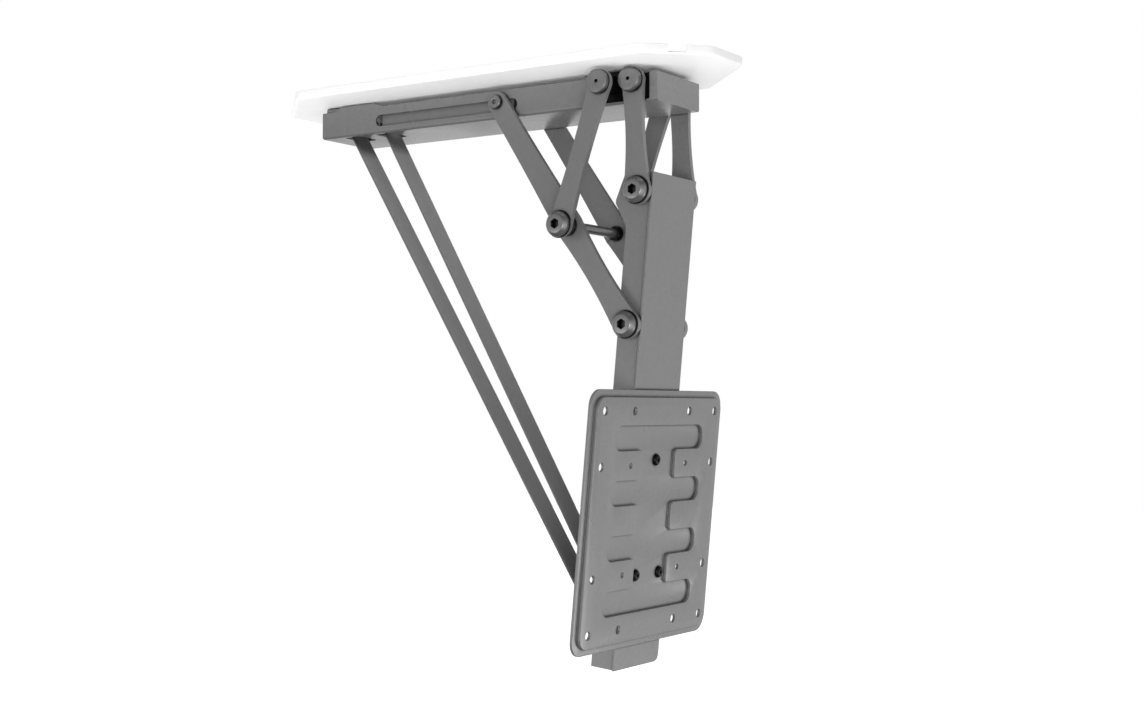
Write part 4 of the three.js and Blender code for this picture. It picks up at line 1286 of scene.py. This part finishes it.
@dataclass
class ScreenPlate(SubAssembly):
    """Pressed plate that the screen is screwed to."""

    half: float = 119.0
    corner: float = 15.0
    sheet: float = 2.7
    step: float = 4.0
    rim: float = 6.5
    bars: tuple[float, ...] = (75.2, 25.0, -25.0, -75.2)
    bar_half: Pair = (80.0, 11.5)
    bar_corner: float = 10.4
    spine: float = 30.0
    holes: tuple[float, ...] = (-100.0, -50.0, 50.0, 100.0)
    inner_hole: float = 2.8
    outer_hole: float = 4.1
    screw_bore: float = 3.25

    @staticmethod
    def _slab(half: Pair, corner: float, ends: Pair, arc: int = 8, v: float = 0.0) -> Solid:
        """Makes a slab that lies flat on the plate.

        Args:
            half: half its width and half its height, in millimetres.
            corner: rounding of its corners.
            ends: where it starts and ends along Y.
            arc: faces in each rounded corner.
            v: height of its middle.

        Returns:
            The slab, in metres.
        """
        w, h = half
        shape = Bench.rectangle((-w, w), (v - h, v + h), corner)
        return Bench.prism(shape, *ends, Axis.Y, arc)

    def _recess(self, margin: float, low: float, high: float) -> Solid:
        """Makes the solid that presses the recess.

        Args:
            margin: growth of the recess, in millimetres.
            low: start along Y.
            high: end along Y.

        Returns:
            The solid, in metres.
        """
        w, h = self.bar_half
        spine = (self.spine + margin, self.bars[0] + h + margin)
        tool = Bench.piece("recess", self._slab(spine, 3, (low, high)))
        for bar in self.bars:
            corner = self.bar_corner + margin
            shape = self._slab((w + margin, h + margin), corner, (low, high), v=bar)
            Bench.change(tool, Join.ADD, [shape])
        bm = Bench.take(tool)
        bmesh.ops.dissolve_limit(bm, angle_limit=0.01, verts=bm.verts[:], edges=bm.edges[:])
        inward = [
            e for e in bm.edges
            if len(e.link_faces) == 2
            and abs(e.verts[0].co.y - e.verts[1].co.y) > 1e-3
            and e.calc_face_angle_signed() < -math.radians(60)
        ]
        Bench.round_off(bm, inward, 3.6, 6)
        return bm

    def build(self) -> None:
        """Makes the plate and its screws."""
        back, field = self.step + self.sheet, self.half - self.rim
        corner, inner = self.corner - self.rim / 2, field - self.sheet
        plate = Bench.piece(
            "pressed_plate", self._slab((self.half,) * 2, self.corner, (self.step, back), 10)
        )
        raised = self._slab((field,) * 2, corner, (0, self.step + 1), 10)
        Bench.change(plate, Join.ADD, [raised])
        pocket = Bench.piece(
            "pocket", self._slab((inner,) * 2, corner - self.sheet, (self.sheet, back + PAST))
        )
        Bench.change(pocket, Join.CUT, [self._recess(self.sheet, -1, back + 6)])
        Bench.change(plate, Join.CUT, [Bench.take(pocket)])
        Bench.change(plate, Join.CUT, [self._recess(0, -PAST, self.step)])
        Bench.soften(plate, Edges(0.6, 3, 30), keep_live=False)
        ends = (-PAST, back + PAST)
        holes = []
        for x in self.holes:
            for z in self.holes:
                radius = self.inner_hole if abs(x) == abs(z) == 50 else self.outer_hole
                holes.append(Bench.rod(Axis.Y, (x, z), *ends, radius, 40))
        holes += [Bench.rod(Axis.Y, s, *ends, self.screw_bore, 32) for s in SCREWS]
        self.make(
            "pressed_plate", plate, "column", Finishes.steel, "vesa_plate",
            [(Join.CUT, holes)], Edges(0.25, angle=60), leaning=True,
        )
        for number, place in enumerate(SCREWS, 1):
            self._screw(number, place)

    def _screw(self, number: int, place: Pair) -> None:
        """Makes a button-head screw in the recess."""
        under = self.step - GAP
        profile = [(0, 0), (5.4, 0), (5.4, 0.8), (5.0, 1.7), (4.1, 2.6), (3.3, 3.0), (0, 3.0)]
        spot = Matrix.Translation((place[0] * MM, under * MM, place[1] * MM))
        head = Bench.turned(profile, spot @ Matrix.Rotation(math.pi / 2, 4, "X"), 40)
        shank = Bench.rod(Axis.Y, place, under - 0.3, 12.6, 3, 32)
        socket = Bench.rod(Axis.Y, place, under - 6, under - 1.2, 1.9, 6)
        self.make(
            f"plate_screw_{number}_head", head, "column", Finishes.black_steel_and_shade,
            f"plate_screw_{number}", [(Join.ADD, [shank]), (Join.CUT, [socket])],
            Edges(0, angle=35), leaning=True,
        )


@dataclass
class Belt(SubAssembly):
    """Woven lifting belt: two runs, the bend round the roller and the roll."""

    middle: float = -19.0
    width: float = 26.0
    thickness: float = 1.8
    roller_path: float = 9.7
    drum_path: float = 12.5
    anchor_reach: float = 4.3
    bend_gap: float = 0.02
    kept: Pair = (0.10571, 0.09877)
    roll_turns: float = 3.2
    roll_path: Pair = (8.9, 1.5)
    roll_thickness: float = 0.7

    def build(self) -> None:
        """Makes the belt's pieces."""
        drum, anchor = Vector(PIVOTS.drum), Vector(PIVOTS.anchor)
        roller = Vector(PIVOTS.roller)
        line = roller - drum
        turn = (
            math.atan2(line.y, line.x)
            - math.acos((self.roller_path - self.drum_path) / line.length) + math.pi
        )
        outward = self._toward(turn)
        back_top = drum + outward * self.drum_path
        back_foot = roller + outward * self.roller_path
        up = anchor - roller
        inward = self._toward(
            math.atan2(up.y, up.x) + math.acos(self.roller_path / up.length)
        )
        front_foot = roller + inward * self.roller_path
        rise = anchor - front_foot
        front_top = front_foot + rise * ((rise.length - self.anchor_reach) / rise.length)
        self._run("back", back_top, back_foot, self.kept[0])
        self._run("front", front_top, front_foot, self.kept[1])
        start = math.atan2(inward.y, inward.x)
        end = math.atan2(outward.y, outward.x)
        while end < start:
            end += math.tau
        first, sweep = start + self.bend_gap, end - start - 2 * self.bend_gap
        self._strip(
            "belt_bend", "belt_wrap", "belt_wrap", (end - start) * self.roller_path, 28,
            lambda t: roller + self._toward(first + sweep * t) * self.roller_path,
        )
        low, growth = self.roll_path
        self._strip(
            "belt_coil", "drum", "belt_roll", 240.0, 200,
            lambda t: drum + self._toward(t * self.roll_turns * math.tau) * (low + growth * t),
            self.roll_thickness,
        )

    @staticmethod
    def _toward(angle: float) -> Vector:
        """Gives the direction at an angle in the Y-Z plane."""
        return Vector((math.cos(angle), math.sin(angle)))

    def _strip(
        self, name: str, body: str, node: str, length: float, steps: int,
        path: Callable[[float], Vector], thickness: float = 0.0,
    ) -> bpy.types.Object:
        """Makes a strip of webbing along a path in the Y-Z plane.

        Args:
            name: the piece's name.
            body: the body that it moves with.
            node: the solid that it stands for.
            length: its length, in millimetres.
            steps: faces along it.
            path: gives the middle line for a share of the length.
            thickness: of the strip, if it isn't the belt's.

        Returns:
            The strip, with its map in millimetres.
        """
        bm = bmesh.new()
        bmesh.ops.create_grid(bm, x_segments=4, y_segments=steps, size=0.5, calc_uvs=False)
        chart = bm.loops.layers.uv.new("UVMap")
        for face in bm.faces:
            for loop in face.loops:
                spot = loop.vert.co
                loop[chart].uv = ((spot.x + 0.5) * self.width, (spot.y + 0.5) * length)
        for vert in bm.verts:
            place = path(min(max(vert.co.y + 0.5, 0), 1))
            across = self.middle + vert.co.x * self.width
            vert.co = Vector((across * MM, place.x * MM, place.y * MM))
        bmesh.ops.recalc_face_normals(bm, faces=bm.faces[:])
        strip = Bench.piece(name, bm)
        wall = strip.modifiers.new("thickness", "SOLIDIFY")
        wall.thickness = (thickness or self.thickness) * MM
        wall.offset = 0
        wall.use_even_offset = True
        Bench.settle(strip)
        Bench.soften(strip, Edges(0.35, 3, 50), keep_live=False)
        self.make(name, strip, body, Finishes.webbing, node, edges=Edges(0, angle=50))
        return strip

    def _run(self, name: str, top: Vector, foot: Vector, keep: float) -> None:
        """Makes a straight run of the belt.

        Args:
            name: back or front.
            top: upper end, in millimetres.
            foot: lower end.
            keep: share of its length that is left when folded; not used.
        """
        run = self._strip(
            f"belt_{name}_strip", f"belt_{name}", f"belt_run_{name}", (foot - top).length, 40,
            lambda t: top.lerp(foot, t),
        )
        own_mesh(run)


@dataclass(frozen=True)
class Lamp:
    """Round area light, with places in metres and power in watts."""

    name: str
    spot: Triple
    target: Triple
    size: float
    power: float
    mirrored: bool = True
    tray_only: bool = False


@dataclass
class Studio:
    """Camera, lights, floor and backdrop."""

    place: Triple = (-1.32325, -0.96334, -0.32361)
    azimuth: float = -56.50
    rise: float = 1.71
    roll: float = 0.08
    lens: float = 51.6
    soft: float = 0.36
    band: Pair = (0.25, 0.65)
    mirrored: Pair = (0.98, 0.10)
    floor_glow: float = 0.85
    floor_height: float = -1.25
    lamps: tuple[Lamp, ...] = (
        Lamp("front", (-0.95, -1.85, -0.95), (0, -0.1, -0.4), 2.0, 14.5),
        Lamp("right", (1.3, -1.8, -1.4), (0, -0.1, -0.45), 1.2, 17.0),
        Lamp("back", (-1.7, 0.9, -0.8), (0, -0.1, -0.25), 1.2, 6.5),
        Lamp("near", (-1.3, -1.0, -0.6), (0, -0.1, -0.35), 0.6, 8.5),
        Lamp("far", (2.0, 1.0, -0.25), (0, -0.1, -0.3), 1.2, 22.0, mirrored=False),
        Lamp("rear", (0.7, 2.2, -0.25), (0, -0.1, -0.3), 1.2, 18.0, mirrored=False),
        Lamp("top", (0, 0.2, 2.2), (0, 0, 0), 0.3, 22.0, mirrored=False),
        Lamp("tray_fill_under", (-0.8, 0.1, -1.1), (0, 0, 0), 1.2, 10.0, tray_only=True),
        Lamp("tray_fill_side", (-1.9, 1.0, -0.4), (0, 0, 0), 1.2, 5.0, tray_only=True),
    )

    def build(self) -> None:
        """Sets up the camera, the room and the floor."""
        self._camera()
        self._room()
        self._floor()

    def _camera(self) -> None:
        """Puts the camera at the photograph's place."""
        data = bpy.data.cameras.new("camera")
        data.lens, data.sensor_width, data.clip_end = self.lens, 36.0, 50.0
        camera = Bench.show("camera", data)
        heading = Matrix.Rotation(math.radians(self.azimuth), 4, "Z")
        tilt = Matrix.Rotation(math.radians(90 + self.rise), 4, "X")
        spin = Matrix.Rotation(math.radians(self.roll), 4, "Z")
        camera.matrix_world = Matrix.Translation(self.place) @ heading @ tilt @ spin
        bpy.context.scene.camera = camera

    def _room(self) -> None:
        """Makes a white backdrop in a room that mirrors bright at eye level only."""
        world = bpy.data.worlds.new("room")
        world.use_nodes = True
        nodes = Nodes(world.node_tree)
        rays = nodes.add("LightPath").outputs
        parts = nodes.add("SeparateXYZ", {0: nodes.add("TexCoord").outputs["Generated"]})
        height = nodes.math("ABSOLUTE", parts.outputs["Z"])
        mirrored = nodes.remap(
            height, self.band, self.mirrored, interpolation_type="SMOOTHSTEP"
        )
        level: Socket | float = self.soft
        for ray, seen in (("Is Glossy Ray", mirrored), ("Is Camera Ray", 1.0)):
            inputs = {"Factor": rays[ray], "A": level, "B": seen}
            level = nodes.add("Mix", inputs).outputs["Result"]
        sky = world.node_tree.nodes["Background"]
        nodes.fill(sky, {"Color": (1, 1, 1, 1), "Strength": level})
        bpy.context.scene.world = world
        bpy.context.scene.view_settings.view_transform = "Standard"

    def _floor(self) -> None:
        """Makes a pale floor that only the camera sees, so that it throws no light."""
        paint = bpy.data.materials.new("pale_floor")
        paint.use_nodes = True
        Nodes(paint.node_tree).fill(paint.node_tree.nodes["Principled BSDF"], {
            "Base Color": (0.9, 0.9, 0.9, 1), "Roughness": 0.9,
            "Emission Color": (1, 1, 1, 1), "Emission Strength": self.floor_glow,
        })
        bm = bmesh.new()
        bmesh.ops.create_circle(
            bm, cap_ends=True, segments=96, radius=14,
            matrix=Matrix.Translation((0, 0, self.floor_height)),
        )
        floor = Bench.piece("floor", bm)
        floor.data.materials.append(paint)
        floor.visible_diffuse = False
        floor.visible_glossy = False
        floor.visible_shadow = False

    def light(self) -> None:
        """Places the lights once the tray is made, some of them for the tray alone."""
        tray = bpy.data.collections.new("tray_only")
        tray.objects.link(bpy.data.objects["pan_tray"])
        for lamp in self.lamps:
            data = bpy.data.lights.new(lamp.name, "AREA")
            data.shape, data.size, data.energy = "DISK", lamp.size, lamp.power
            made = Bench.show(lamp.name, data)
            made.location = lamp.spot
            aim = Vector(lamp.target) - Vector(lamp.spot)
            made.rotation_euler = aim.to_track_quat("-Z", "Y").to_euler()
            made.visible_camera = False
            made.visible_glossy = lamp.mirrored
            if lamp.tray_only:
                made.light_linking.receiver_collection = tray
                made.light_linking.blocker_collection = tray


@dataclass
class Carried(SubAssembly):
    """Solids that stay as they are and only get a better finish."""

    def build(self) -> None:
        """Dresses every solid that is still shown with the first finish of its slot."""
        by_slot = {finish.slot: finish for finish in reversed(self.finishes.all)}
        slots = {s["node"]: s["material_slot"] for s in frame["record"]["subparts"]}
        for name, node in frame["nodes"].items():
            if not node.hide_render:
                self.finishes.paint(node, by_slot[slots[name]])
                LOG.info("dressed %s", name)


def main() -> None:
    """Builds the lift, its finishes and the shot."""
    logging.basicConfig(level=logging.INFO, format="%(name)s: %(message)s")
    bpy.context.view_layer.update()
    studio = Studio()
    studio.build()
    finishes = Finishes()
    for kind in (CeilingPan, Channel, Links, Column, ScreenPlate, Belt, Carried):
        kind(finishes).build()
        LOG.info("built %s", kind.__name__)
    studio.light()


if __name__ == "__main__":
    main()
